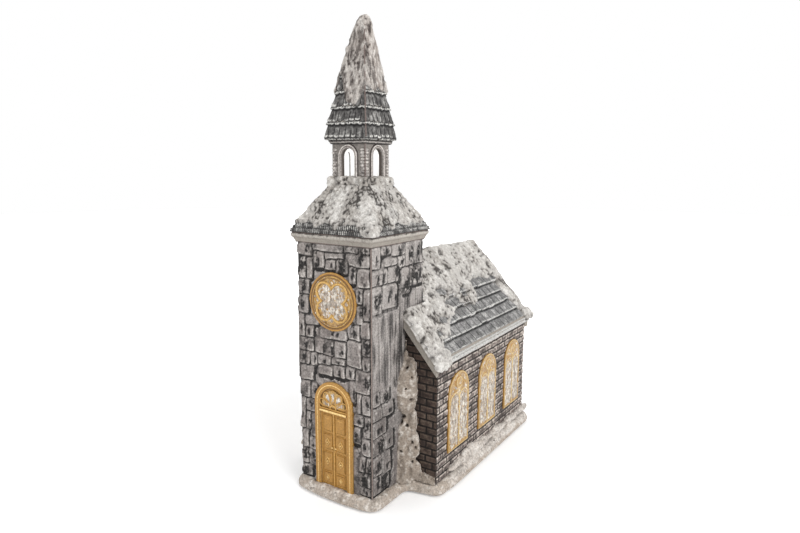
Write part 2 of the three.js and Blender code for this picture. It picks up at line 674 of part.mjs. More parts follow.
function belfryLedge() {
  const rows = [[0, 0.94], [0.25, 1], [0.7, 0.98], [1, 0.93]];
  return loft(rows.map(([rise, share]) => {
    const z = ledgeBottom + rise * LEDGE_HEIGHT;
    return squareRing(LEDGE_HALF * share, z, 6).map(([x, y], i) => {
      const swell = 1 + 0.03 * lump(i, rise * 3) - (i % 6 === 0 ? 0.04 : 0);
      return [x * swell, towerY + (y - towerY) * swell, z];
    });
  }));
}

// Spire
const spireProfile = [[0, 1], [0.15, 0.92], [0.3, 0.767], [0.43, 0.633], [0.64, 0.441], [0.82, 0.268], [1, 0]];
const spireLean = z => SPIRE_SHIFT * Math.max(0, (z - spireBottom) / (snowTop - spireBottom)) ** 1.3;
function spireHalf(z) {
  const share = between(spireProfile, (z - spireBottom) / SPIRE_HEIGHT);
  return SPIRE_TIP_HALF + (SPIRE_HALF - SPIRE_TIP_HALF) * share;
}

function spireSlates() {
  const rings = [squareRing(SPIRE_HALF - SPIRE_STEP, spireBottom)];
  for (let course = 0; course < SPIRE_COURSES; course++) {
    const low = spireBottom + course * SPIRE_HEIGHT / SPIRE_COURSES;
    const high = low + SPIRE_HEIGHT / SPIRE_COURSES;
    const lip = spireHalf(low) - (course ? 0 : SPIRE_STEP * 0.15);
    rings.push(squareRing(lip, low + SPIRE_STEP * 0.7, 1, spireLean(low)));
    rings.push(squareRing(Math.max(spireHalf(high), SPIRE_TIP_HALF) - SPIRE_STEP, high, 1, spireLean(high)));
  }
  return loft(rings);
}

function spireSnow() {
  const spec = {
    low: spireBottom + SPIRE_SNOW_START,
    top: spireTop,
    waves: 10,
    thickness: SPIRE_SNOW,
    half: z => spireHalf(z) + SPIRE_STEP * 0.2,
    lean: spireLean,
    drips: [[0.35, 0.22, 6], [1.0, 0.12, 1.5], [2.4, 0.3, 4], [3.4, 0.25, 5]],
  };
  const { outer, inner } = snowShell(spec, 5, 7);
  const shrink = (ring, share, z) => ring.map(([x, y]) => {
    const middle = spireLean(z);
    return [middle + (x - spireLean(spireTop)) * share, towerY + (y - towerY) * share, z];
  });
  const top = outer.at(-1);
  const tip = [[0.82, 0.5], [0.55, 0.85], [0.25, 1]]
    .map(([share, rise]) => shrink(top, share, spireTop + rise * SNOW_TIP));
  const ceiling = inner[0].map(([x, y, z]) => [x, y, z + GLUE_GAP]);
  return loft([ceiling, ...inner.slice(1), ...outer, ...tip]);
}

function addBelfryAndSpire() {
  add('belfry_ledge', belfryLedge(), 'snow');
  add('belfry_arcade', belfryArcade(), 'stone');
  const reach = BELFRY_HALF + MOULDING_REACH;
  const rings = [[reach - 0.8, 0], [reach, 0.3], [reach + 0.3, 1]]
    .map(([half, rise]) => squareRing(half, mouldingBottom + rise * MOULDING_HEIGHT));
  add('spire_moulding', loft(rings), 'stone');
  add('spire_slates', spireSlates(), 'slate');
  add('spire_snow', spireSnow(), 'snow');
}

// Nave walls under the roof's underside, open below and above
const ridgeStations = [0, 2.5, 6, 12];
function underRoof(half, lower) {
  const xs = [...ridgeStations.filter(x => x < half), half];
  const right = xs.map(x => [x, underside(x) - lower]).reverse();
  const left = right.slice(0, -1).reverse().map(([x, z]) => [-x, z]);
  return [...right, ...left];
}

function polygon(points) {
  return new THREE.Shape(points.map(([x, y]) => new THREE.Vector2(x, y)));
}

const windowPitch = (NAVE_LENGTH - END_PIER_FRONT - END_PIER_BACK - 2 * WINDOW_HALF) / (WINDOW_COUNT - 1);
const windowPlaces = Array.from({ length: WINDOW_COUNT }, (_, i) => (
  naveFront + END_PIER_FRONT + WINDOW_HALF + i * windowPitch
));
const sill = wallBottom + WINDOW_SILL;
const windowSpring = sill + WINDOW_HEIGHT - WINDOW_HALF;
const paneHalf = WINDOW_HALF - WINDOW_FRAME + PANE_LAP;
const paneBottom = sill + WINDOW_FRAME - PANE_LAP;

function naveShell() {
  const gable = polygon([[-NAVE_HALF, wallBottom], [NAVE_HALF, wallBottom], ...underRoof(NAVE_HALF, slantGap)]);
  const walls = onWall('back', gable, naveFront, naveBack);
  const room = block(
    -hollowHalf, hollowHalf, naveFront + NAVE_WALL, naveBack - NAVE_WALL, wallBottom - 1, underside(0) + 1,
  );
  const tower = towerRoom(wallBottom - 1, underside(0) + 1);
  const clear = paneHalf + GLUE_GAP;
  const holes = windowPlaces.map(y => (
    onWall('right', arch(clear, paneBottom - GLUE_GAP, windowSpring, clear), -NAVE_HALF - 1, NAVE_HALF + 1, 10)
      .translate(0, y, 0)
  ));
  return cut(walls, room, tower, ...holes);
}

// Space that the tower needs, with its glue line
function towerRoom(z0, z1) {
  const half = TOWER_HALF + GLUE_GAP;
  return block(-half, half, towerFront - 20, towerBack + GLUE_GAP, z0, z1);
}

// Roof: one section with stepped slate courses, cut round the tower
function roofSection() {
  const first = eaveHalf - EAVE_STRIP;
  const coursePitch = (first - 2 * ridgeStations[1]) / ROOF_COURSES;
  const top = [[eaveHalf, roofSkin(eaveHalf) - COURSE_STEP], [first, roofSkin(first) - COURSE_STEP]];
  for (let course = 0; course < ROOF_COURSES; course++) {
    const low = first - course * coursePitch;
    const high = low - coursePitch;
    top.push([low, roofSkin(low)], [high, roofSkin(high) - COURSE_STEP]);
  }
  top.push([0, roofSkin(0) - COURSE_STEP / 2]);
  const left = top.slice(0, -1).reverse().map(([x, z]) => [-x, z]);
  return polygon([...underRoof(eaveHalf, 0).reverse(), ...top, ...left]);
}

function naveRoof() {
  return cut(onWall('back', roofSection(), vergeFront, vergeBack), towerRoom(0, snowTop));
}

// Boards under the verges
function bargeSection() {
  const lower = underRoof(eaveHalf - 0.5, slantGap + BARGE_DEPTH);
  const upper = underRoof(eaveHalf - 0.5, slantGap).reverse();
  return polygon([...upper, ...lower]);
}

// Snow on the roof: how far it reaches down each slope, as stops [y, distance from the ridge line]
// as shares of the roof's length and of its half width
const snowReach = {
  right: [
    [0, 1.01], [0.1, 1.01], [0.14, 0.89], [0.2, 0.86], [0.26, 0.78], [0.34, 0.7], [0.38, 0.55], [0.44, 0.52],
    [0.49, 0.6], [0.54, 0.66], [0.6, 0.65], [0.65, 0.47], [0.74, 0.42], [0.8, 0.46], [0.88, 0.54], [0.94, 0.66],
    [0.97, 1.01], [1, 1.01],
  ],
  left: [
    [0, 1.01], [0.13, 1], [0.2, 0.82], [0.28, 0.62], [0.4, 0.5], [0.52, 0.6], [0.62, 0.46], [0.78, 0.6],
    [0.9, 0.56], [0.96, 1], [1, 1.01],
  ],
};

function roofSnow() {
  const rows = 38;
  const columns = 11;
  const start = vergeFront - 2 * GLUE_GAP;
  const length = vergeBack + 2 * GLUE_GAP - start;
  const wave = length / 45;
  const rings = Array.from({ length: rows + 1 }, (_, row) => {
    const y = start + length * row / rows;
    const stations = [];
    for (let column = -columns; column <= columns; column++) {
      const share = Math.abs(column / columns);
      const side = column < 0 ? 'left' : 'right';
      const ragged = ROOF_SNOW * 0.24 * lump(y / wave, column < 0 ? 1 : 2);
      const reach = between(snowReach[side], row / rows) * eaveHalf + ragged;
      stations.push([Math.sign(column) * reach * share ** 1.4, share]);
    }
    const lower = stations.map(([x]) => [x, y, roofSkin(x) + 2.4 * slantGap]);
    const upper = stations.map(([x, share]) => {
      const edge = Math.min(1, (1 - share) * 5, (row + 0.4) / 1.2, (rows - row + 0.4) / 1.2);
      const settled = 1.2 - 0.65 * (1 - share) * row / rows;
      const thick = ROOF_SNOW * (0.35 + 0.65 * edge) * (settled + 0.45 * lump(x / wave, y / wave));
      return [x, y, roofSkin(x) + 2.4 * slantGap + thick];
    });
    return [...lower.reverse(), ...upper];
  });
  const sheet = loft(rings, ([x, , z]) => new THREE.Vector2(z, x));
  return cut(sheet, towerRoom(0, snowTop));
}

// Drifts in the corners of tower and gable: [height over the plinth, reach along the gable, along the tower]
const driftRight = [
  [0, 12, 12], [8, 10.5, 11], [21, 9.6, 10], [36, 8.4, 9], [43, 5.6, 6], [47, 5.2, 5.6], [53, 8.6, 9],
  [62, 10.6, 10.4], [73, 10.8, 9.2], [79, 8.4, 6.6], [83, 4.4, 3.6], [88, 1, 1],
];
const driftLeft = [[0, 11, 12], [9, 9, 10], [24, 7, 8], [42, 5.5, 6], [50, 3, 3], [55, 1, 1]];

function drift(levels, bankHeight) {
  const x0 = TOWER_HALF + GLUE_GAP;
  const y0 = naveFront - GLUE_GAP;
  const scale = SIDE_WALL_HEIGHT / 84.8;
  const rings = levels.map(level => level.map(length => length * scale)).map(([height, alongGable, alongTower]) => {
    const z = wallBottom + height;
    const arc = Array.from({ length: 7 }, (_, i) => {
      const angle = i / 6 * Math.PI / 2;
      const swell = 1 + 0.08 * lump(i, height / scale / 6);
      return [x0 + alongGable * Math.sin(angle) * swell, y0 - alongTower * Math.cos(angle) * swell, z];
    });
    arc[0][0] = x0;
    arc.at(-1)[1] = y0;
    return [[x0, y0, z], ...arc];
  });
  const bank = [0, 0.3, 0.65, 1].map((share, i) => {
    const x = x0 + share * (NAVE_HALF - x0);
    const deep = BANK_DEPTH * (1 - 0.72 * share);
    const high = bankHeight * (1 - 0.25 * share + 0.12 * lump(i * 2, 1));
    return [[0, 0], [0, high], [-0.35, high * 0.8], [-0.75, high * 0.35], [-1, 0]]
      .map(([out, rise]) => [x, y0 + out * deep, wallBottom + rise]);
  });
  return joined(loft(rings), loft(bank, ([, y, z]) => new THREE.Vector2(y, z)));
}

function addNave() {
  add('nave_shell', naveShell(), 'brick');
  add('nave_roof', naveRoof(), 'slate');
  const board = bargeSection();
  const front = onWall('back', board, vergeFront + 0.4, naveFront - GLUE_GAP);
  const half = TOWER_HALF + GLUE_GAP;
  const rightOnly = block(half, eaveHalf + 1, vergeFront - 5, naveFront, 0, snowTop);
  const rightBoard = geometryOf(solidOf(front).intersect(solidOf(rightOnly)));
  add('barge_front_right', rightBoard, 'plaster');
  add('barge_front_left', mirrored(rightBoard), 'plaster');
  add('barge_back', onWall('back', board, naveBack + GLUE_GAP, vergeBack - 0.4), 'plaster');
  add('roof_snow', roofSnow(), 'snow');
  add('drift_right', drift(driftRight, BANK_HEIGHT), 'snow');
  add('drift_left', mirrored(drift(driftLeft, BANK_HEIGHT * 0.8)), 'snow');
}

// Window frame with its tracery: two lancets, an eye and two small cells in the head
function windowFrame(side) {
  const inside = WINDOW_HALF - WINDOW_FRAME;
  const lancetHalf = (inside - MULLION / 2) / 2;
  const lancetX = MULLION / 2 + lancetHalf;
  const lancetSpring = windowSpring - lancetHalf + 0.5;
  const openings = [disc(0, windowSpring + inside * 0.52, inside * 0.3)];
  for (const turn of [-1, 1]) {
    openings.push(arch(lancetHalf, sill + WINDOW_FRAME, lancetSpring, lancetHalf, turn * lancetX));
    openings.push(disc(turn * inside * 0.6, windowSpring + inside * 0.42, inside * 0.13));
  }
  const from = NAVE_HALF + GLUE_GAP;
  const outline = arch(WINDOW_HALF, sill, windowSpring, WINDOW_HALF);
  return pierced(side, outline, openings, from, from + WINDOW_RELIEF, 5);
}

function addWindows() {
  const pane = arch(paneHalf, paneBottom, windowSpring, paneHalf);
  const glassFront = NAVE_HALF - GLUE_GAP;
  for (const side of ['right', 'left']) {
    windowPlaces.forEach((y, i) => {
      add(`window_frame_${side}_${i + 1}`, windowFrame(side).translate(0, y, 0), 'gold');
      const glass = onWall(side, pane, glassFront - PANE_THICKNESS, glassFront, 10);
      add(`window_pane_${side}_${i + 1}`, glass.translate(0, y, 0), 'glitter');
    });
  }
}

// Door relief on the tower's front
function doorLeaf() {
  const width = openingHalf - 2 * GLUE_GAP;
  const from = -towerFront + GLUE_GAP;
  const to = from + LEAF_THICKNESS;
  const leaf = polygon([
    [GLUE_GAP, wallBottom], [width, wallBottom], [width, wallBottom + LEAF_HEIGHT],
    [GLUE_GAP, wallBottom + LEAF_HEIGHT],
  ]);
  const panels = [[0.04, 0.17], [0.22, 0.45], [0.51, 0.7], [0.76, 0.96]].map(([low, high]) => (
    onWall('front', polygon([
      [width * 0.2, wallBottom + LEAF_HEIGHT * low], [width * 0.78, wallBottom + LEAF_HEIGHT * low],
      [width * 0.78, wallBottom + LEAF_HEIGHT * high], [width * 0.2, wallBottom + LEAF_HEIGHT * high],
    ]), to - 0.3, to + PANEL_RELIEF)
  ));
  const knob = onWall('front', disc(width * 0.12, wallBottom + LEAF_HEIGHT * 0.5, 0.7), to - 0.3, to + 0.8);
  return joined(onWall('front', leaf, from, to), ...panels, knob);
}

function petal(angle) {
  const middle = new THREE.Vector2(0, fanSpring + TRANSOM * 0.4);
  const far = Math.min(fanRise, fanRadius) * 0.88;
  const near = far * 0.32;
  const out = new THREE.Vector2(Math.cos(angle), Math.sin(angle));
  const across = new THREE.Vector2(-out.y, out.x);
  const at = (along, side) => middle.clone().addScaledVector(out, along).addScaledVector(across, side);
  const width = far * 0.2;
  const path = new THREE.Shape();
  const tip = at(near, 0);
  const left = at(far * 0.72, width);
  const right = at(far * 0.72, -width);
  const end = at(far, 0);
  path.moveTo(tip.x, tip.y);
  path.lineTo(right.x, right.y);
  path.quadraticCurveTo(...at(far, -width).toArray(), end.x, end.y);
  path.quadraticCurveTo(...at(far, width).toArray(), left.x, left.y);
  path.closePath();
  return path;
}

function addDoor() {
  const from = -towerFront + GLUE_GAP;
  const surround = arch(DOOR_HALF, wallBottom, doorSpring, DOOR_HALF);
  const inside = arch(openingHalf, wallBottom - 1, doorSpring, openingHalf);
  add('door_surround', cut(
    onWall('front', surround, from, from + DOOR_RELIEF, 12),
    onWall('front', inside, from - 1, from + DOOR_RELIEF + 1, 12),
  ), 'gold');
  const right = doorLeaf();
  add('door_leaf_right', right, 'gold');
  add('door_leaf_left', mirrored(right), 'gold');
  const fanReach = z => Math.sqrt(fanRadius ** 2 - Math.max(0, z - doorSpring) ** 2);
  const foot = Math.asin(Math.max(0, fanBottom - doorSpring) / fanRadius);
  const fan = new THREE.Shape();
  fan.moveTo(-fanReach(fanBottom), fanBottom);
  fan.lineTo(fanReach(fanBottom), fanBottom);
  fan.absarc(0, doorSpring, fanRadius, foot, Math.PI - foot, false);
  fan.closePath();
  const petals = Array.from({ length: FAN_PETALS }, (_, i) => petal(Math.PI * (i + 0.5) / FAN_PETALS));
  const barHalf = fanReach(fanSpring);
  const bar = block(-barHalf, barHalf, towerFront - GLUE_GAP - DOOR_RELIEF * 0.8, towerFront - GLUE_GAP,
    fanBottom, fanSpring);
  add('fanlight_tracery', joined(pierced('front', fan, petals, from, from + DOOR_RELIEF * 0.55), bar), 'gold');
  const clear = FAN_REBATE + GLUE_GAP;
  const pane = arch(fanRadius - clear, fanSpring + clear, fanSpring + clear, fanRise - 2 * clear);
  const front = from - 2 * GLUE_GAP;
  add('fanlight_pane', onWall('front', pane, front - PANE_THICKNESS, front, 12), 'glitter');
}

// Outline of four round lobes on the diagonals, which meet in cusps
function quatrefoil(lobe, away) {
  const path = new THREE.Shape();
  const overlap = Math.asin(away / Math.SQRT2 / lobe);
  for (let i = 0; i < 4; i++) {
    const quarter = i * Math.PI / 2;
    const x = away * Math.cos(quarter + Math.PI / 4);
    const y = roseZ + away * Math.sin(quarter + Math.PI / 4);
    path.absarc(x, y, lobe, quarter - overlap, quarter + Math.PI / 2 + overlap, false);
  }
  path.closePath();
  return path;
}

function addRose() {
  const from = -towerFront + GLUE_GAP;
  const lobe = roseHole * 0.43;
  const away = roseHole * 0.42;
  const foil = quatrefoil(lobe, away);
  const cells = Array.from({ length: 4 }, (_, i) => {
    const angle = i * Math.PI / 2;
    const out = roseHole - 2 * ROSE_MOULDING;
    return disc(out * Math.cos(angle), roseZ + out * Math.sin(angle), ROSE_MOULDING);
  });
  const outline = disc(0, roseZ, ROSE_RADIUS);
  const rim = disc(0, roseZ, ROSE_RADIUS - 1.6);
  add('rose_frame', joined(
    pierced('front', outline, [foil, ...cells], from, from + ROSE_RELIEF * 0.6, 6),
    pierced('front', outline, [rim], from, from + ROSE_RELIEF, 6),
    pierced('front', quatrefoil(lobe + ROSE_MOULDING, away), [foil], from, from + ROSE_RELIEF * 1.2, 6),
  ), 'gold');
  const pane = disc(0, roseZ, roseHole - GLUE_GAP);
  const front = from - 2 * GLUE_GAP;
  add('rose_pane', onWall('front', pane, front - PANE_THICKNESS, front, 12), 'glitter');
}

// Closing plate with the battery well, and what is fixed to it
const axisY = wellFront + RUN_GAP + HATCH_THICKNESS / 2;
const boardFront = wellY - BOARD_LENGTH / 2;
const boardBottom = wellTop + GLUE_GAP;
const boardTop = boardBottom + BOARD_THICKNESS;
const slotHalf = KNOB_SIZE / 2 + RUN_GAP;
const knobFlange = KNOB_SIZE / 2 + KNOB_FLANGE;

function pinAlong(x0, x1, radius, sides = 12) {
  const geometry = new THREE.CylinderGeometry(radius, radius, x1 - x0, sides);
  return geometry.rotateZ(Math.PI / 2).translate((x0 + x1) / 2, axisY, hatchMiddle);
}

function baseCover() {
  const plate = slab(rectangle(coverHalf, coverFront, coverBack, 6), coverBottom, coverTop);
  const wall = wellHalf + WELL_WALL;
  const well = block(-wall, wall, wellFront - WELL_WALL, wellBack + WELL_WALL, coverTop - 0.5, wellTop);
  const room = block(-wellHalf, wellHalf, wellFront, wellBack, coverBottom - 1, wellCeiling);
  const holes = screwPlaces.map(([x, y]) => (
    post(x, y, coverBottom - 1, coverTop + 1, SCREW_RADIUS + RUN_GAP, 12)
  ));
  const slot = block(switchX - slotHalf, switchX + slotHalf + SWITCH_TRAVEL, wellY - slotHalf, wellY + slotHalf,
    coverBottom - 1, coverTop + 1);
  const sockets = [-1, 1].map(side => {
    const deep = wellHalf + TRUNNION_LENGTH + GLUE_GAP;
    return pinAlong(Math.min(side * deep, 0), Math.max(side * deep, 0), TRUNNION_RADIUS + GLUE_GAP);
  });
  return cut(joined(plate, well), room, slot, ...holes, ...sockets);
}

function batteryHatch() {
  const half = wellHalf - RUN_GAP;
  const round = HATCH_THICKNESS / 2;
  const end = wellBack - RUN_GAP;
  const section = new THREE.Shape();
  section.moveTo(axisY, hatchMiddle - round);
  section.lineTo(end, hatchMiddle - round);
  section.lineTo(end, hatchMiddle + round);
  section.lineTo(axisY, hatchMiddle + round);
  section.absarc(axisY, hatchMiddle, round, Math.PI / 2, 3 * Math.PI / 2, false);
  section.closePath();
  const plate = onWall('right', section, -half, half, 10);
  const pins = pinAlong(-half - TRUNNION_LENGTH, half + TRUNNION_LENGTH, TRUNNION_RADIUS);
  const grip = block(-6, 6, end - 3, end + 1, hatchMiddle - round - 1, hatchMiddle - round + 0.8);
  return cut(joined(plate, pins), grip);
}

// Round cell with its nub; the lathe turns about the cell's own axis
function cell(x, turned) {
  const half = CELL_LENGTH / 2;
  const profile = [
    [0, -half], [CELL_RADIUS - 0.5, -half], [CELL_RADIUS, 0.5 - half], [CELL_RADIUS, half - CELL_NUB - 0.5],
    [CELL_RADIUS - 0.5, half - CELL_NUB], [2.6, half - CELL_NUB], [2.6, half], [0, half],
  ].map(([radius, along]) => new THREE.Vector2(radius, along));
  const geometry = new THREE.LatheGeometry(profile, 20);
  if (turned) geometry.rotateZ(Math.PI);
  return geometry.translate(x, wellY, cellZ);
}

function contact(x0, x1, front, dimples) {
  const wallY = front ? wellFront + GLUE_GAP : wellBack - GLUE_GAP - CONTACT_SHEET;
  const sheet = block(x0, x1, wallY, wallY + CONTACT_SHEET, cellZ - 5, cellZ + 5);
  const bump = CONTACT_SPACE - 2 * GLUE_GAP - CONTACT_SHEET;
  const bumps = dimples.map(x => {
    const boss = new THREE.CylinderGeometry(1.6, 1.6, bump + 0.2, 12);
    const middle = front ? wallY + CONTACT_SHEET + bump / 2 - 0.1 : wallY - bump / 2 + 0.1;
    return boss.translate(x, middle, cellZ);
  });
  return joined(sheet, ...bumps);
}

function screw(x, y) {
  const head = coverBottom - GLUE_GAP;
  const profile = [
    [0, -SCREW_HEAD_HEIGHT], [SCREW_HEAD_RADIUS * 0.7, -SCREW_HEAD_HEIGHT], [SCREW_HEAD_RADIUS, -0.5],
    [SCREW_HEAD_RADIUS, 0], [SCREW_RADIUS, 0], [SCREW_RADIUS, SCREW_LENGTH - 1.2], [0, SCREW_LENGTH],
  ].map(([radius, rise]) => new THREE.Vector2(radius, rise));
  return new THREE.LatheGeometry(profile, 16).rotateX(Math.PI / 2).translate(x, y, head);
}

function lamp(x, y, z) {
  const profile = [[0, 0], [LAMP_RADIUS + 0.4, 0], [LAMP_RADIUS + 0.4, 1], [LAMP_RADIUS, 1]];
  const dome = LAMP_HEIGHT - LAMP_RADIUS;
  for (let i = 0; i <= 4; i++) {
    const angle = i / 4 * Math.PI / 2;
    profile.push([LAMP_RADIUS * Math.cos(angle), dome + LAMP_RADIUS * Math.sin(angle)]);
  }
  profile.at(-1)[0] = 0;
  const points = profile.map(([radius, rise]) => new THREE.Vector2(radius, rise));
  return new THREE.LatheGeometry(points, 14).rotateX(Math.PI / 2).translate(x, y, z);
}

// Lead from the board over the well's end, down, and through the notch to the tower lamp
function towerLead() {
  const notchZ = wallBottom + LEAD_RADIUS + 1;
  const route = [
    [boardFront - GLUE_GAP, boardBottom + BOARD_THICKNESS / 2], [boardFront - 6, boardTop],
    [wellFront - 5, wellTop + 0.5], [wellFront - 9, wellTop - 6], [openFront + 3, notchZ + 3],
    [towerBack + 4, notchZ], [towerBack - TOWER_WALL / 2, notchZ], [towerBack - TOWER_WALL - 4, notchZ],
  ].map(([y, z]) => new THREE.Vector3(LEAD_X, y, z));
  route.push(new THREE.Vector3(0, towerY + HOLDER_RADIUS + GLUE_GAP, notchZ));
  const path = new THREE.CatmullRomCurve3(route, false, 'centripetal');
  const sides = 8;
  const section = polygon(Array.from({ length: sides }, (_, i) => {
    const angle = i * 2 * Math.PI / sides;
    return [LEAD_RADIUS * Math.cos(angle), LEAD_RADIUS * Math.sin(angle)];
  }));
  return new THREE.ExtrudeGeometry(section, { steps: 24, extrudePath: path, bevelEnabled: false });
}

function addInside() {
  add('base_cover', baseCover(), 'plastic');
  add('battery_hatch', batteryHatch(), 'plastic');
  const cellX = wellHalf / 2;
  add('cell_right', cell(cellX, false), 'cell');
  add('cell_left', cell(-cellX, true), 'cell');
  add('contact_plus', contact(1.5, wellHalf - 1.5, true, [cellX]), 'steel');
  add('contact_minus', contact(1.5 - wellHalf, -1.5, true, [-cellX]), 'steel');
  add('contact_bridge', contact(1.5 - wellHalf, wellHalf - 1.5, false, [-cellX, cellX]), 'steel');
  screwPlaces.forEach(([x, y], i) => add(`cover_screw_${i + 1}`, screw(x, y), 'steel'));

  const middle = switchX + SWITCH_TRAVEL / 2;
  const bottom = coverTop + GLUE_GAP;
  const chamber = bottom + 2.5 * RUN_GAP + KNOB_FLANGE;
  add('switch_housing', cut(
    block(middle - SWITCH_LENGTH / 2, middle + SWITCH_LENGTH / 2, wellY - SWITCH_WIDTH / 2,
      wellY + SWITCH_WIDTH / 2, bottom, bottom + SWITCH_HEIGHT),
    block(switchX - knobFlange - RUN_GAP, switchX + knobFlange + SWITCH_TRAVEL + RUN_GAP,
      wellY - knobFlange - RUN_GAP / 2, wellY + knobFlange + RUN_GAP / 2, bottom - 1, chamber),
  ), 'steel');
  const halfKnob = KNOB_SIZE / 2;
  add('switch_knob', joined(
    block(switchX - halfKnob, switchX + halfKnob, wellY - halfKnob, wellY + halfKnob, coverBottom - KNOB_PROUD,
      bottom + KNOB_FLANGE),
    block(switchX - knobFlange, switchX + knobFlange, wellY - knobFlange, wellY + knobFlange,
      bottom + RUN_GAP - 0.1, bottom + RUN_GAP + KNOB_FLANGE),
  ), 'plastic');

  add('circuit_board', block(-BOARD_WIDTH / 2, BOARD_WIDTH / 2, boardFront, boardFront + BOARD_LENGTH,
    boardBottom, boardTop), 'board');
  add('nave_lamp', lamp(0, wellY, boardTop + GLUE_GAP), 'lens');
  add('tower_lamp_holder', post(0, towerY, wallBottom, wallBottom + HOLDER_HEIGHT, HOLDER_RADIUS, 20), 'plastic');
  add('tower_lamp', lamp(0, towerY, wallBottom + HOLDER_HEIGHT + GLUE_GAP), 'lens');
  add('tower_lead', towerLead(), 'lead');
}

addBase();
addTower();
addBelfryAndSpire();
addNave();
addWindows();
addDoor();
addRose();
addInside();

export default church;
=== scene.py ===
"""Looks of the snow-covered resin village church: relief, snow, gilding, glitter, light and camera."""

from __future__ import annotations

import json
import logging
import math
from collections.abc import Callable
from dataclasses import dataclass, field
from enum import Enum

import bmesh
import bpy
import numpy as np
from bpy.types import ID, Material, Mesh, Node, NodeSocket, NodeTree, Object
from mathutils import Matrix, Vector

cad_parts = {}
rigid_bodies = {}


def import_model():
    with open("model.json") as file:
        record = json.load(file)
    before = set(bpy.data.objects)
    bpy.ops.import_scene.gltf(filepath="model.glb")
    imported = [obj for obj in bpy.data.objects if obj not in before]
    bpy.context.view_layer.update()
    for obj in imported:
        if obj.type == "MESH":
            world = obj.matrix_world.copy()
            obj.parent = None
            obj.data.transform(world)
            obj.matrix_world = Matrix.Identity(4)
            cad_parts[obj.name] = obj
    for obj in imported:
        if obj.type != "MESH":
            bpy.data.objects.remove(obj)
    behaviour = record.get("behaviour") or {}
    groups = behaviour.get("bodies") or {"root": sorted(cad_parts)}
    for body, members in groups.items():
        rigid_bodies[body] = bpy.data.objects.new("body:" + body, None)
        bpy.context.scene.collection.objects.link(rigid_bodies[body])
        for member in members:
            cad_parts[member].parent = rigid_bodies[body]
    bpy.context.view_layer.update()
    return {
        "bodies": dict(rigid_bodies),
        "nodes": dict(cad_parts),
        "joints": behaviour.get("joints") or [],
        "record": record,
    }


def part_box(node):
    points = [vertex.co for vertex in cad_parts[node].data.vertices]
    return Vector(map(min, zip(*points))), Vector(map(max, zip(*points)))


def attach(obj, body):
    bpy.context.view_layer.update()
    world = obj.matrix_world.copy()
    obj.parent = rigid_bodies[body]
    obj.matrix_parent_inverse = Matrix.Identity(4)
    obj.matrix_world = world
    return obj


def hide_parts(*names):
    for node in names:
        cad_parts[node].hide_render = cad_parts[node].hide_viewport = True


LOG = logging.getLogger("church")
MM = 0.001
WELD = 0.01 * MM
Array = np.ndarray
Point = tuple[float, float, float]
Colour = tuple[int, int, int]
Path = list[tuple[float, float]]
Cell = tuple[float, float, float, float]

# Blocks of the tower's walls between the middles of their grooves: left, right, bottom and top from the wall's
# middle and foot. The side wall runs from the front to the back.
FRONT_BLOCKS: tuple[Cell, ...] = (
    (-30.2, -16.8, 156.8, 166.3), (-16.8, 9.6, 160.9, 166.3), (9.6, 21.4, 161.3, 166.3), (21.4, 30.2, 161.3, 166.3),
    (-16.8, -6.4, 149.3, 160.9), (-6.4, 3, 148.9, 156.6), (-6.4, 9.6, 156.6, 160.9), (3, 12.6, 147.3, 156.6),
    (12.6, 30.2, 152.8, 161.3), (12.6, 19.6, 141.3, 152.8), (19.6, 30.2, 139.9, 152.8), (-30.2, -22.4, 141.3, 156.8),
    (-22.4, -16.8, 141.3, 156.8), (-30.2, -19.6, 130.5, 141.3), (-30.2, -20.8, 117.3, 130.5),
    (18.6, 24.4, 128.9, 139.9), (24.4, 30.2, 118.9, 139.9), (18.8, 24.4, 115.9, 128.9), (-24.6, -11.5, 110.5, 117.3),
    (-30.2, -24.6, 101.3, 117.3), (11.8, 22, 104.9, 115.9), (22, 30.2, 107.3, 118.9), (-11.5, 11.8, 102.7, 110.5),
    (-24.6, -16.6, 101.3, 110.5), (-16.6, 0, 91.5, 102.7), (0, 10.8, 90.9, 102.7), (10.8, 23.2, 87.1, 104.9),
    (23.2, 30.2, 95.5, 107.3), (-30.2, -16.6, 91.5, 101.3), (23.2, 30.2, 86.3, 95.5), (-30.2, -20.6, 81.9, 91.5),
    (-20.6, -14, 81.9, 91.5), (-14, -2.4, 84.1, 91.5), (-2.4, 10, 86.1, 90.9), (-14, -0.4, 76.9, 84.1),
    (-0.4, 10, 77.3, 86.1), (10, 17.8, 77.9, 87.1), (17.8, 30.2, 70.7, 86.3), (-30.2, -17.4, 70.7, 81.9),
    (13, 18.8, 62.5, 77.9), (22.8, 30.2, 56.1, 70.7), (18.8, 22.8, 56.1, 70.7), (-30.2, -20.6, 58.3, 70.7),
    (-20.6, -14, 58.3, 70.7), (-25.6, -15, 48.7, 58.3), (-30.2, -25.6, 34.7, 58.3), (-25.6, -20.8, 34.7, 48.7),
    (-20.8, -15, 30.3, 48.7), (15, 24.4, 47.5, 56.1), (24.4, 30.2, 40.7, 56.1), (15, 22.2, 34.7, 47.5),
    (22.2, 30.2, 28.1, 40.7), (-30.2, -23, 20.9, 34.7), (-23, -15, 20.9, 30.3), (20.2, 25.6, 16.3, 28.1),
    (25.6, 30.2, 16.9, 28.1), (-30.2, -23.8, 8.9, 20.9), (-23.8, -15, 8.9, 20.9), (20.8, 30.2, 6.5, 16.3),
    (-30.2, -20, 0.3, 8.9), (20.8, 30.2, 0.3, 6.5),
)
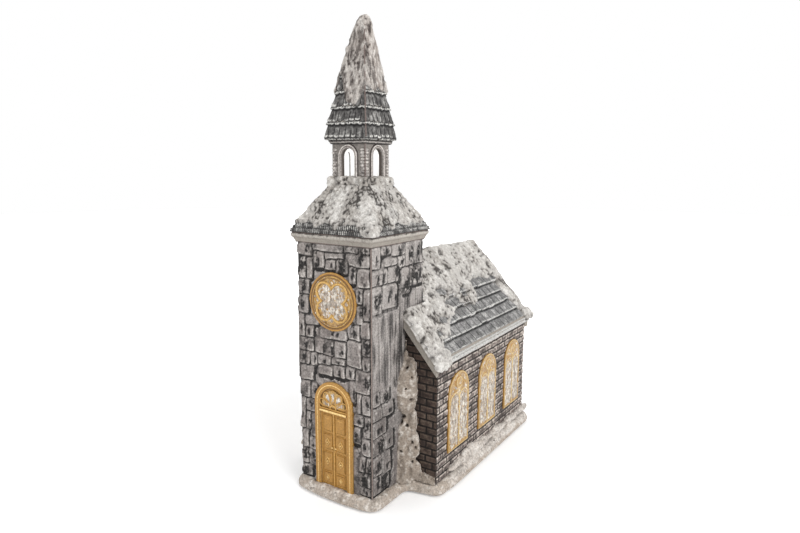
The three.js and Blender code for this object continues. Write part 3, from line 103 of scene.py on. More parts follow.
SIDE_BLOCKS: tuple[Cell, ...] = (
    (-30.2, -20.6, 151.6, 166.3), (-20.6, -8, 159.3, 166.3), (-16.5, -1.5, 151.6, 157.8), (-8, 8, 157.8, 166.3),
    (8, 18.2, 149.3, 166.3), (18.2, 30.2, 149.3, 166.3), (-1.5, 8, 149.5, 157.8), (-30.2, -13, 140.7, 151.6),
    (-13, 3.6, 140.7, 151.6), (3.6, 13.8, 130.3, 149.3), (13.8, 18.4, 134.8, 149.3), (18.4, 30.2, 134.8, 149.3),
    (-30.2, -19, 122.3, 140.7), (-19, -1.5, 123.8, 140.7), (-30.2, -21, 61.5, 71.9), (-21, -11, 61.5, 71.9),
    (-30.2, -19, 51.7, 61.5), (-19, -6, 51.7, 61.5), (-30.2, -14, 40.5, 51.7), (-30.2, -16, 27.9, 40.5),
    (-16, -6, 27.9, 40.5), (-30.2, -19.6, 13.3, 27.9), (-19.6, -9, 11.3, 27.9), (-30.2, -19.6, 0.5, 13.3),
    (-19.6, -11, 0.5, 11.3),
)


def smooth(low: float, high: float, value: Array) -> Array:
    """Soft step from 0 at low to 1 at high; low may lie above high."""
    share = np.clip((value - low) / (high - low), 0.0, 1.0)
    return share * share * (3 - 2 * share)


def hashed(cells: Array, seed: int) -> Array:
    """Number from 0 to 1 that belongs to each whole-numbered cell.

    Args:
        cells: Whole numbers, one row of three for each cell.
        seed: Choice of pattern.

    Returns:
        One number for each row.
    """
    mixed = cells[:, 0] * 374761393 + cells[:, 1] * 668265263 + cells[:, 2] * 2147483647 + seed * 144665
    mixed = (mixed ^ (mixed >> 13)) * 1274126177
    mixed = (mixed ^ (mixed >> 16)) & 0xFFFFFF
    return mixed / 0xFFFFFF


def clouds(points: Array, size: float | Point, seed: int = 1) -> Array:
    """Soft noise from -1 to 1.

    Args:
        points: Places in millimetres, one row of three for each.
        size: Distance over which the noise changes, along each axis or in all directions.
        seed: Choice of pattern.

    Returns:
        One value for each place.
    """
    scaled = points / np.asarray(size, float)
    base = np.floor(scaled).astype(np.int64)
    part = scaled - base
    ease = part * part * (3 - 2 * part)
    total = np.zeros(len(points))
    for corner in np.ndindex(2, 2, 2):
        step = np.array(corner)
        weight = np.prod(np.where(step, ease, 1 - ease), axis=1)
        total += weight * (2 * hashed(base + step, seed) - 1)
    return total


def spots(points: Array, size: float | Point, seed: int, share: float) -> Array:
    """Distance to the nearest of some scattered spots, in cells.

    Args:
        points: Places in millimetres, one row of three for each.
        size: Size of a cell, which holds one spot or none.
        seed: Choice of pattern.
        share: Share of the cells that hold a spot.

    Returns:
        One distance for each place, at most 2.
    """
    scaled = points / np.asarray(size, float)
    base = np.floor(scaled).astype(np.int64)
    nearest = np.full(len(points), 2.0)
    for corner in np.ndindex(3, 3, 3):
        cell = base + np.array(corner) - 1
        centre = np.stack([hashed(cell, seed + axis) for axis in range(3)], axis=1) + cell
        away = np.linalg.norm(scaled - centre, axis=1)
        nearest = np.where(hashed(cell, seed + 7) < share, np.minimum(nearest, away), nearest)
    return nearest


def upright(size: float, tall: float) -> Point:
    """Cell that is taller than wide."""
    return size, size, size * tall


def crumbled(points: Array, size: float, tall: float, seed: int) -> tuple[Array, Array]:
    """Crumbs of snow and grit.

    Args:
        points: Places in millimetres, one row of three for each.
        size: Size of a crumb.
        tall: How much longer the crumbs are upright than sideways.
        seed: Choice of pattern.

    Returns:
        Height of each place, about -1 to 1, and how deep it lies between the crumbs, 0 to 1.
    """
    domes = spots(points, upright(size, tall), seed, 1.0)
    big = clouds(points, upright(2.6 * size, tall), seed + 11)
    fine = clouds(points, upright(0.5 * size, tall ** 0.5), seed + 12)
    height = 1.1 * (0.5 - domes) + 0.5 * big + 0.3 * fine
    return height, smooth(-0.02, -0.55, height + 0.25 * fine)


def swell(a: Array, b: Array) -> Array:
    """Soft unevenness of the solid's snow, from -1 to 1."""
    return (np.sin(a * 1.7 + 0.6 * np.sin(b)) + np.sin(b * 2.1 + a) + np.sin(a * 0.9 - b * 1.3)) / 3


def arch_reach(across: Array, height: Array, spring: float) -> Array:
    """Distance from an arched opening's middle line, and above its springing from the middle of its head."""
    return np.hypot(across, np.maximum(height - spring, 0))


@dataclass(frozen=True)
class Span:
    """Box of a node at rest, in millimetres."""

    low: Vector
    high: Vector

    @classmethod
    def of(cls, node: str) -> Span:
        """Box of the named node."""
        low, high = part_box(node)
        return cls(low / MM, high / MM)

    @property
    def centre(self) -> Vector:
        """Middle of the box."""
        return (self.low + self.high) / 2

    @property
    def size(self) -> Vector:
        """Lengths of the box's sides."""
        return self.high - self.low


class Wall(Enum):
    """Directions of a wall: along it, up, and out of it."""

    FRONT = (Vector((1, 0, 0)), Vector((0, 0, 1)), Vector((0, -1, 0)))
    RIGHT = (Vector((0, 1, 0)), Vector((0, 0, 1)), Vector((1, 0, 0)))
    BACK = (Vector((-1, 0, 0)), Vector((0, 0, 1)), Vector((0, 1, 0)))
    LEFT = (Vector((0, -1, 0)), Vector((0, 0, 1)), Vector((-1, 0, 0)))

    def place(self, along: float, up: float, out: float) -> Vector:
        """Point on the wall from its distances along it, up, and out of the frame's origin."""
        u, v, n = self.value
        return u * along + v * up + n * out


@dataclass
class Places:
    """Points of a sheet before its relief is raised, all in millimetres.

    Attributes:
        points: Places of the points.
        normals: Directions in which they are raised.
        side: Number of the wall or slope that each lies on, as in Wall.
        across: Distance along the wall, or along the ridge.
        along: Distance up the sheet, or down from the ridge.
    """

    points: Array
    normals: Array
    side: Array
    across: Array
    along: Array

    @property
    def height(self) -> Array:
        """Height of each point over the ground."""
        return self.points[:, 2]


@dataclass
class Relief:
    """What a pattern does at each point of a sheet.

    Attributes:
        height: Millimetres out of the sheet.
        wash: Dark paint held in the hollows, 0 to 1; in some patterns also painted shade.
        wear: Light dry-brushed paint on the high places, 0 to 1; in some patterns also painted highlights.
        tint: Share of the second colour, 0 to 1.
    """

    height: Array
    wash: Array
    wear: Array
    tint: Array

    def paint(self, mesh: Mesh) -> None:
        """Keeps the paint masks as attributes of the mesh's points."""
        for name in ("wash", "wear", "tint"):
            layer = mesh.attributes.new(name, "FLOAT", "POINT")
            layer.data.foreach_set("value", np.clip(getattr(self, name), 0, 1).astype(np.float32))


def coordinates(mesh: Mesh) -> Array:
    """Points of a mesh in millimetres."""
    flat = np.empty(len(mesh.vertices) * 3)
    mesh.vertices.foreach_get("co", flat)
    return flat.reshape(-1, 3) / MM


def placed(name: str, data: ID) -> Object:
    """New object in the scene for a mesh, curve, lamp or camera."""
    piece = bpy.data.objects.new(name, data)
    bpy.context.scene.collection.objects.link(piece)
    return piece


def finished(form: bmesh.types.BMesh, name: str) -> Mesh:
    """Mesh made from a form, which is used up."""
    mesh = bpy.data.meshes.new(name)
    form.to_mesh(mesh)
    form.free()
    return mesh


def applied(holder: Object) -> Mesh:
    """Mesh of an object with its modifiers or curve settings applied; the object is used up."""
    ready = holder.evaluated_get(bpy.context.evaluated_depsgraph_get())
    mesh = bpy.data.meshes.new_from_object(ready)
    bpy.data.objects.remove(holder)
    return mesh


def shown(mesh: Mesh, name: str, finish: Finish) -> Object:
    """Object for a finished mesh, riding on the fixed body.

    Args:
        mesh: The finished mesh, with its place in its points.
        name: Name of the piece.
        finish: Finish of the piece.

    Returns:
        The new object.
    """
    mesh.name = name
    piece = placed(name, mesh)
    mesh.materials.clear()
    mesh.materials.append(finish.material())
    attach(piece, "root")
    LOG.info("%s: %d faces", name, len(mesh.polygons))
    return piece


Pattern = Callable[[Places], Relief]
Mask = Callable[[Places], Array]


@dataclass
class Sheet:
    """A fine grid laid over a surface, raised by a pattern.

    Attributes:
        columns: Faces along the surface.
        rows: Faces across it.
        flat: True for faceted shading.
    """

    columns: int
    rows: int
    flat: bool = False

    def lay(self, u: Array, v: Array) -> Places:
        """Places of the grid's points; u and v run from 0 to 1."""
        raise NotImplementedError

    def raised(self, pattern: Pattern, keep: Mask | None = None) -> Mesh:
        """Grid laid over the surface and raised.

        Args:
            pattern: Relief at each place.
            keep: Mask of the places that the sheet covers; None covers all.

        Returns:
            The new mesh.
        """
        form = bmesh.new()
        bmesh.ops.create_grid(form, x_segments=self.columns, y_segments=self.rows, size=0.5)
        form.verts.ensure_lookup_table()
        grid = np.array([vert.co[:2] for vert in form.verts])
        grid = (grid - grid.min(0)) / (grid.max(0) - grid.min(0))
        places = self.lay(grid[:, 0], grid[:, 1])
        relief = pattern(places)
        covered = np.ones(len(grid), bool) if keep is None else keep(places)
        moved = (places.points + places.normals * relief.height[:, None]) * MM
        masks = {name: form.verts.layers.float.new(name) for name in ("wash", "wear", "tint")}
        for vert, point in zip(form.verts, moved):
            vert.co = point
        for name, layer in masks.items():
            for vert, value in zip(form.verts, np.clip(getattr(relief, name), 0, 1)):
                vert[layer] = value
        loose = [face for face in form.faces if not any(covered[vert.index] for vert in face.verts)]
        bmesh.ops.delete(form, geom=loose, context="FACES")
        bmesh.ops.remove_doubles(form, verts=form.verts, dist=WELD)
        for face in form.faces:
            face.smooth = not self.flat
        return finished(form, "sheet")


@dataclass
class WallSheet(Sheet):
    """Sheet on a flat wall.

    Attributes:
        wall: The wall.
        start: Where the sheet starts along it.
        end: Where it ends along it.
        bottom: Height of its lower edge.
        top: Height of its upper edge.
        out: Distance of the wall's face from the frame's origin.
    """

    wall: Wall = Wall.FRONT
    start: float = 0.0
    end: float = 10.0
    bottom: float = 0.0
    top: float = 10.0
    out: float = 0.0

    def lay(self, u: Array, v: Array) -> Places:
        """Places on the wall."""
        along, up, out = (np.array(axis) for axis in self.wall.value)
        across = self.start + u * (self.end - self.start)
        height = self.bottom + v * (self.top - self.bottom)
        points = across[:, None] * along + height[:, None] * up + self.out * out
        normals = np.tile(out.astype(float), (len(u), 1))
        side = np.full(len(u), list(Wall).index(self.wall))
        return Places(points, normals, side, across, height)


def along_path(path: Path, share: Array) -> tuple[Array, Array, Array, Array]:
    """Points spaced evenly along a path, and the path's direction there.

    Args:
        path: Corners of the path.
        share: Shares of the path's length, from 0 to 1.

    Returns:
        The two coordinates, the unit direction as rows, and the length from the start.
    """
    corners = np.array(path, float)
    steps = np.linalg.norm(np.diff(corners, axis=0), axis=1)
    reached = np.concatenate([[0.0], np.cumsum(steps)])
    at = share * reached[-1]
    first = np.interp(at, reached, corners[:, 0])
    second = np.interp(at, reached, corners[:, 1])
    near = 0.6
    ahead = np.clip(at + near, 0, reached[-1])
    behind = np.clip(at - near, 0, reached[-1])
    direction = np.stack([
        np.interp(ahead, reached, corners[:, 0]) - np.interp(behind, reached, corners[:, 0]),
        np.interp(ahead, reached, corners[:, 1]) - np.interp(behind, reached, corners[:, 1]),
    ], axis=1)
    direction /= np.maximum(np.linalg.norm(direction, axis=1, keepdims=True), 1e-9)
    return first, second, direction, at


@dataclass
class SquareSheet(Sheet):
    """Sheet wrapped round a square form; its columns go once round.

    Attributes:
        profile: Half width and height, from the foot up.
        middle: The form's middle in plan.
        lean: Sideways shift in X at a height.
        roundness: How round the form is at a height, 0 for square.
        corner: Distance from a corner over which the relief turns.
    """

    profile: Path = field(default_factory=list)
    middle: tuple[float, float] = (0.0, 0.0)
    lean: Callable[[Array], Array] = np.zeros_like
    roundness: Callable[[Array], Array] = np.zeros_like
    corner: float = 1.0

    def lay(self, u: Array, v: Array) -> Places:
        """Places round the square."""
        half, height, direction, along = along_path(self.profile, v)
        turn = u * 4
        side = np.minimum(turn.astype(int), 3)
        share = turn - side
        across = (share * 2 - 1) * half
        ahead = np.array([[1, 0], [0, 1], [-1, 0], [0, -1]], float)[side]
        out = np.array([[0, -1], [1, 0], [0, 1], [-1, 0]], float)[side]
        flat = ahead * across[:, None] + out * half[:, None]
        bend = smooth(self.corner, 0.0, half - np.abs(across)) * np.sign(across)
        facing = out + ahead * bend[:, None]
        reach = np.linalg.norm(flat, axis=1, keepdims=True)
        radial = flat / np.maximum(reach, 1e-6)
        soft = self.roundness(height)[:, None]
        flat = flat * (1 - soft) + radial * half[:, None] * 1.1 * soft
        facing = facing * (1 - soft) + radial * soft
        shift = self.lean(height)
        points = np.stack([flat[:, 0] + self.middle[0] + shift, flat[:, 1] + self.middle[1], height], axis=1)
        normals = np.stack([
            facing[:, 0] * direction[:, 1],
            facing[:, 1] * direction[:, 1],
            -direction[:, 0],
        ], axis=1)
        return Places(points, normals, side, across, along)


@dataclass
class RoofLine:
    """Section of the nave's roof: both slopes and the rounded ridge.

    Attributes:
        crown: Height of the slates' face at the ridge.
        pitch: Rise of the slopes.
        rounding: Size of the ridge's rounding.
        eave: Distance of the eaves from the ridge line.
        depth: Depth of the eaves' face.
    """

    crown: float
    pitch: float = 1.17
    rounding: float = 6.5
    eave: float = 57.5
    depth: float = 4.3

    def skin(self, x: Array) -> Array:
        """Height of the slates' face at a distance from the ridge line."""
        return self.crown - self.pitch * (np.hypot(x, self.rounding) - self.rounding)

    def down(self, x: Array) -> Array:
        """Length down the slope from the ridge to a distance from the ridge line, on down the eaves' face."""
        stations = np.linspace(0, self.eave, 60)
        steps = np.hypot(np.diff(stations), np.diff(self.skin(stations)))
        reached = np.concatenate([[0.0], np.cumsum(steps)])
        return np.interp(x, stations, reached) + np.maximum(x - self.eave, 0.0)

    def path(self) -> Path:
        """Section from under the right eave over the ridge to under the left eave."""
        slope = [(x, float(self.skin(x))) for x in np.linspace(0, self.eave, 40)]
        foot = slope[-1]
        right = [(foot[0], foot[1] - self.depth)] + slope[::-1]
        return right + [(-x, z) for x, z in right[-2::-1]]


@dataclass
class RoofSheet(Sheet):
    """Sheet over both slopes of the nave's roof.

    Attributes:
        line: Section of the roof.
        start: Where the sheet starts from front to back.
        end: Where it ends.
    """

    line: RoofLine = field(default_factory=lambda: RoofLine(160.0))
    start: float = 0.0
    end: float = 10.0

    def lay(self, u: Array, v: Array) -> Places:
        """Places over the roof; across runs along the ridge, along down from it on each slope."""
        x, z, direction, at = along_path(self.line.path(), v)
        y = self.start + u * (self.end - self.start)
        middle = at.max() / 2
        points = np.stack([x, y, z], axis=1)
        normals = np.stack([direction[:, 1], np.zeros_like(x), -direction[:, 0]], axis=1)
        side = np.where(at < middle, 1, 3)
        return Places(points, normals, side, y, np.abs(at - middle))


@dataclass
class StonePattern:
    """Interlocking blocks of stone with rounded grooves and a dark pit in most blocks.

    Attributes:
        blocks: Blocks of the front, right, back and left wall.
        bottom: Height of the wall's foot.
        depth: Height of a block over its groove.
        groove: Half width of a groove.
        rounding: Radius of a block's corners.
        wander: How far the grooves stray.
        pits: Share of the blocks that have a pit.
        faint: Where the relief was smeared away in the cast, 0 to 1.
        tints_and_side_shade: Share of the second, darker colour on each wall, most on the front: partly tint, partly
            painted shade.
        seed: Choice of pattern.
    """

    blocks: list[tuple[Cell, ...]]
    bottom: float
    depth: float = 0.95
    groove: float = 0.34
    rounding: float = 2.4
    wander: float = 0.5
    pits: tuple[float, float, float, float] = (0.75, 0.92, 0.75, 0.92)
    faint: Callable[[Places], Array] | None = None
    tints_and_side_shade: tuple[float, float, float, float] = (0.8, 0.1, 0.4, 0.3)
    seed: int = 5

    def chiselled(self, places: Places) -> tuple[Array, Array, Array, Array, Array]:
        """Where each place lies in its block.

        Args:
            places: Places on the walls.

        Returns:
            Distance inside the rounded outline of the block, negative outside; the core and the halo of the
            block's pit, 0 to 1; the block's tone, 0 to 1; and how heavy the line on this side of it is.
        """
        points = places.points
        fine = 0.3 * clouds(points, 2.6, self.seed + 1)
        across = places.across + self.wander * clouds(points, 6.0, self.seed) + fine
        up = places.height - self.bottom + self.wander * clouds(points, 7.0, self.seed + 2) - fine
        ragged = 0.4 * clouds(points, 1.4, self.seed + 3)
        level, core, halo = np.full(len(up), -9.0), np.zeros(len(up)), np.zeros(len(up))
        tone, heavy = np.full(len(up), 0.5), np.full(len(up), 0.6)
        draw = np.random.default_rng(self.seed)
        for side, blocks in enumerate(self.blocks):
            chosen = np.flatnonzero(places.side == side)
            for left, right, low, high in blocks:
                roll = draw.uniform(size=8)
                x, z = across[chosen] - (left + right) / 2, up[chosen] - (low + high) / 2
                x, z = x + 0.16 * (roll[7] - 0.5) * z, z + 0.12 * (roll[2] - 0.5) * x
                half_x, half_z = (right - left) / 2, (high - low) / 2
                near = (np.abs(x) < half_x + 2) & (np.abs(z) < half_z + 2)
                x, z, spot = x[near], z[near], chosen[near]
                corner = min(self.rounding, 0.75 * half_x, 0.75 * half_z)
                over_x, over_z = np.abs(x) - half_x + corner, np.abs(z) - half_z + corner
                beyond = np.hypot(np.maximum(over_x, 0), np.maximum(over_z, 0))
                inside = corner - beyond - np.minimum(np.maximum(over_x, over_z), 0)
                deeper = inside > level[spot]
                beside = smooth(-1.5, 1.5, (over_x - over_z)[deeper])
                spot, x, z = spot[deeper], x[deeper], z[deeper]
                level[spot] = inside[deeper]
                heavy[spot] = 0.5 * (1 + np.sign(x) * beside - np.sign(z) * (1 - beside))
                tone[spot] = roll[0]
                reach = np.zeros(len(spot)) + 9.0
                for pit in range(1 + int(half_x * half_z > 38)):
                    shift = (roll[1 + pit] - 0.5) * 0.7 * half_x + (pit * half_x * 0.5)
                    wide = min(0.8 + 0.9 * roll[3], half_x - 1.8)
                    tall = min(1.5 + 2.6 * roll[4], half_z - 1.8)
                    if roll[5] < self.pits[side] and min(wide, tall) > 0.3:
                        away = np.hypot((x - shift) / wide, (z - (roll[6] - 0.5) * half_z * 0.5) / tall)
                        reach = np.minimum(reach, away)
                core[spot] = smooth(1.25, 0.7, reach + ragged[spot])
                halo[spot] = smooth(3.2, 0.8, reach + 1.3 * ragged[spot])
        return level, core, halo, tone, heavy

    def __call__(self, places: Places) -> Relief:
        """Relief of the stone."""
        points = places.points
        level, core, halo, tone, heavy = self.chiselled(places)
        bare_or_glowing = smooth(-1.6, -2.8, level)
        away = np.where(bare_or_glowing > 0, np.abs(level), np.maximum(level, 0))
        heavy = np.clip(heavy + 0.35 * clouds(points, 8.0, self.seed + 12), 0.1, 1)
        wide = self.groove * (0.1 + 2.7 * heavy ** 1.3)
        rise = np.maximum(smooth(wide * 0.6, wide + 0.7, away), bare_or_glowing)
        rough = clouds(points, 2.4, self.seed + 4) * 0.5 + clouds(points, 1.1, self.seed + 5) * 0.6
        streak = clouds(points, (1.1, 1.1, 15.0), self.seed + 6)
        smudge = clouds(points, (5.0, 5.0, 9.0), self.seed + 7)
        faint = np.zeros(len(away)) if self.faint is None else self.faint(places)
        keep = 1 - faint
        height = 0.06 + keep * (self.depth * rise - 0.3 * core) + 0.16 * rough * rise
        height = np.maximum(height + faint * (0.62 + 0.2 * streak), 0.04)
        rim = np.exp(-((away - wide - 0.65) / 0.45) ** 2) * (1 - bare_or_glowing) * (0.3 + 0.7 * heavy)
        groove = (1 - smooth(wide * 0.8, wide + 0.3, away)) * (0.35 + 0.9 * heavy)
        wash = np.maximum(groove * (1 - bare_or_glowing), core)
        stain = 0.8 * halo + 0.5 * smooth(-0.1, 0.7, smudge) + 0.25
        wash = np.maximum(wash, stain * smooth(-0.25, 0.45, rough + 0.35 * smudge))
        low = 0.5 * smooth(24, 4, places.height - self.bottom) * smooth(-0.6, 0.5, smudge + rough)
        ghost = 0.7 * groove * (1 - bare_or_glowing) * smooth(-0.2, 0.5, smudge)
        wash = np.maximum(wash, low) * keep
        shaded = 0.35 * smooth(-15, 25, np.where(places.side == 3, -places.across, places.across))
        wash += faint * np.maximum((0.8 + shaded) * smooth(-0.35, 0.7, streak + 0.6 * smudge), ghost)
        wear = rim * keep * smooth(-0.7, 0.3, clouds(points, 4.0, self.seed + 8)) + 0.4 * smooth(0.1, 0.8, -rough)
        deep = smooth(95, 60, places.height) * (places.side % 2)
        wash = np.maximum(wash, 0.4 * deep * (1 + rough))
        # share of the darker colour on each wall: partly tint, partly painted shade
        tint = np.array(self.tints_and_side_shade)[places.side] + 0.7 * deep + 0.3 * (tone - 0.5)
        return Relief(height, wash, wear, tint + 0.3 * clouds(points, 14.0, self.seed + 9))


@dataclass
class BrickPattern:
    """Brick courses in running bond.

    Attributes:
        bottom: Height of the lowest bed joint.
        course: Height of a course.
        length: Length of a brick with its joint.
        joint: Half width of a joint.
        depth: Height of a brick over its joints.
        seed: Choice of pattern.
    """

    bottom: float
    course: float = 5.06
    length: float = 10.6
    joint: float = 0.46
    depth: float = 0.6
    seed: int = 21

    def __call__(self, places: Places) -> Relief:
        """Relief of the bricks."""
        points = places.points
        stray = 0.22 * clouds(points, 6.0, self.seed)
        level = (places.height - self.bottom + stray) / self.course
        row = np.floor(level)
        run = (places.across + stray) / self.length + 0.5 * (row % 2) + 0.06 * clouds(points, 30.0, self.seed + 1)
        brick = np.floor(run)
        cells = np.stack([brick, row, places.side.astype(float)], axis=1).astype(np.int64)
        up = (level - row) * self.course
        on = (run - brick) * self.length
        away = np.minimum(np.minimum(up, self.course - up), np.minimum(on, self.length - on))
        rise = smooth(self.joint * 0.6, self.joint + 0.5, away)
        rough = clouds(points, 1.6, self.seed + 2)
        tone = hashed(cells, self.seed)
        height = 0.05 + rise * (self.depth + 0.16 * (tone - 0.5) + 0.1 * rough)
        # painted highlight: the upper edge of each brick gets extra light paint, as from light above; edge is the dry
        # brushing of every edge
        top = np.exp(-((self.course - up - self.joint - 0.5) / 0.35) ** 2)
        edge = np.exp(-((away - self.joint - 0.45) / 0.3) ** 2)
        patches = clouds(points, 3.0, self.seed + 3) + 0.6 * clouds(points, 7.0, self.seed + 4)
        wear = (0.7 * edge + 0.95 * top * smooth(0.3, 0.9, away)) * (0.8 + 0.5 * patches)
        wear += 0.6 * smooth(0.1, 0.9, patches + rough) * rise
        wash = np.maximum(1 - smooth(0.35, self.joint + 0.45, away), 0.6 * smooth(0.1, 0.8, -patches - 0.5 * rough))
        return Relief(np.maximum(height, 0.04), wash, wear, tone * 0.8 + 0.2 * rough)


@dataclass
class SlatePattern:
    """Slates in courses, each course lapping over the one below.

    Attributes:
        start: Length down the slope at which the first course ends.
        course: Length of a course down the slope.
        width: Width of a slate.
        step: Height of a slate's lower edge over the course below.
        end: Length down the slope at the lowest edge.
        downwards: False where the sheet's own lengths run up from the lowest edge.
        grain: Depth of the marks that run down each slate.
        joint: Half width of the gap between two slates.
        sag: How far the middle of a slate's lower edge hangs, in courses.
        lift: Height of the lower edges over the solid's own.
        twin: True for a second ridge over each lower edge.
        seed: Choice of pattern.
    """

    start: float
    course: float
    width: float
    step: float
    end: float
    downwards: bool = True
    grain: float = 0.1
    joint: float = 0.3
    sag: float = 0.0
    lift: float = 0.5
    twin: bool = False
    seed: int = 41

    def __call__(self, places: Places) -> Relief:
        """Relief of the slates."""
        points = places.points
        down = places.along if self.downwards else self.end - places.along
        slip = 0.35 * clouds(points, (9.0, 9.0, 30.0), self.seed) + 0.12 * clouds(points, 2.5, self.seed + 1)
        level = (down - self.start + slip) / self.course
        row = np.floor(level)
        run = places.across / self.width + 0.5 * (row % 2) + 0.1 * clouds(points, 25.0, self.seed + 2)
        slate = np.floor(run)
        cells = np.stack([slate, row, places.side.astype(float)], axis=1).astype(np.int64)
        tone = hashed(cells, self.seed)
        on = (run - slate) * self.width
        level = level + (tone - 0.5) * 0.07 - self.sag * np.sin(on / self.width * math.pi)
        part = level - np.floor(level)
        away = np.minimum(on, self.width - on)
        joint = 1 - smooth(self.joint * 0.4, self.joint + 0.35, away)
        lip = smooth(0.86, 0.95, part)
        marks = clouds(points, (0.8, 0.8, 6.0), self.seed + 3)
        upper = smooth(0.66, 0.72, part) * smooth(0.82, 0.78, part) * self.twin
        upper *= smooth(-0.3, 0.1, clouds(points, 7.0, self.seed + 6))
        slot = smooth(0.8, 0.83, part) * smooth(0.91, 0.87, part) * self.twin
        patches = clouds(points, 3.6, self.seed + 7) + 0.7 * clouds(points, 1.7, self.seed + 8)
        height = self.lift + self.step * (part - 1) + 0.12 * (tone - 0.5) - 0.25 * joint * part
        height += self.grain * marks * (1 - lip) + 0.25 * np.maximum(lip, upper) - 0.25 * slot
        edges = np.maximum(lip, upper) * (1.0 + 0.4 * clouds(points, 3.0, self.seed + 4))
        wear = edges + 0.25 * smooth(0.2, 0.9, marks) + 0.4 * smooth(0.1, 0.9, patches) * (1 - lip)
        # painted shadow: dark band at the top of each course, under the lower edge of the course above; also dark
        # joints between slates
        wash = np.maximum(1 - smooth(0.08, 0.26, part), joint * smooth(0.1, 0.4, part))
        wash = np.maximum(wash, 2.0 * self.grain * smooth(0.0, 0.8, -marks)) * (1 - 0.8 * lip * (1 - joint))
        wash = np.maximum(np.maximum(wash, 0.9 * slot), 0.45 * smooth(0.0, 0.9, -patches) * (1 - lip))
        tint = 0.5 + 0.7 * (tone - 0.5) + 0.4 * clouds(points, 9.0, self.seed + 5)
        return Relief(height, wash, wear, tint)


@dataclass
class SnowPattern:
    """Snow that clings to a form: thick at the top, with drips, lumps and pits.

    Attributes:
        low: Height of the snow's lower edge on each side, as a function of the places.
        thickness: Depth of the snow away from its edge.
        streak: How much longer the marks are upright than sideways.
        pits: Share of the places that have a pit.
        lumps: Height of the lumps.
        runs: Strength of the dark upright runs of paint.
        seed: Choice of pattern.
    """

    low: Callable[[Places], Array]
    thickness: float = 2.0
    streak: float = 2.0
    pits: float = 0.5
    lumps: float = 0.7
    runs: float = 0.3
    seed: int = 61

    def margin(self, places: Places) -> Array:
        """Distance of each place above the snow's lower edge."""
        return places.height - self.low(places)

    def __call__(self, places: Places) -> Relief:
        """Relief of the snow."""
        points = places.points
        edge = np.clip(self.margin(places), -1.0, None)
        cover = np.sqrt(np.clip(edge / 1.8, 0.0, 1.0))
        crumbs, gaps = crumbled(points, 2.5, self.streak ** 0.5, self.seed)
        soft = clouds(points, upright(6.0, self.streak), self.seed + 21)
        runs = clouds(points, upright(1.1, self.streak ** 2), self.seed + 22)
        ragged = 0.16 * clouds(points, 1.5, self.seed + 23)
        pit = smooth(0.36, 0.14, spots(points, upright(5.0, self.streak ** 0.5), self.seed + 3, self.pits) + ragged)
        height = cover * (self.thickness + self.lumps * (crumbs + 0.7 * soft) - 0.6 * self.thickness * pit)
        wash = np.maximum(1.1 * gaps * smooth(-0.9, 0.2, soft + 0.4 * runs), 0.9 * pit)
        wash = np.maximum(wash, 0.4 * smooth(0.1, 0.8, soft))
        wash = np.maximum(wash, self.runs * smooth(0.0, 0.7, runs + 0.4 * soft))
        wash = np.maximum(wash, 0.55 * smooth(0.5, 0.05, cover))
        tint = 0.45 + 0.6 * clouds(points, (9.0, 9.0, 16.0), self.seed + 5)
        return Relief(height - 0.25 * (1 - cover), wash, smooth(-0.1, 0.7, crumbs), tint)


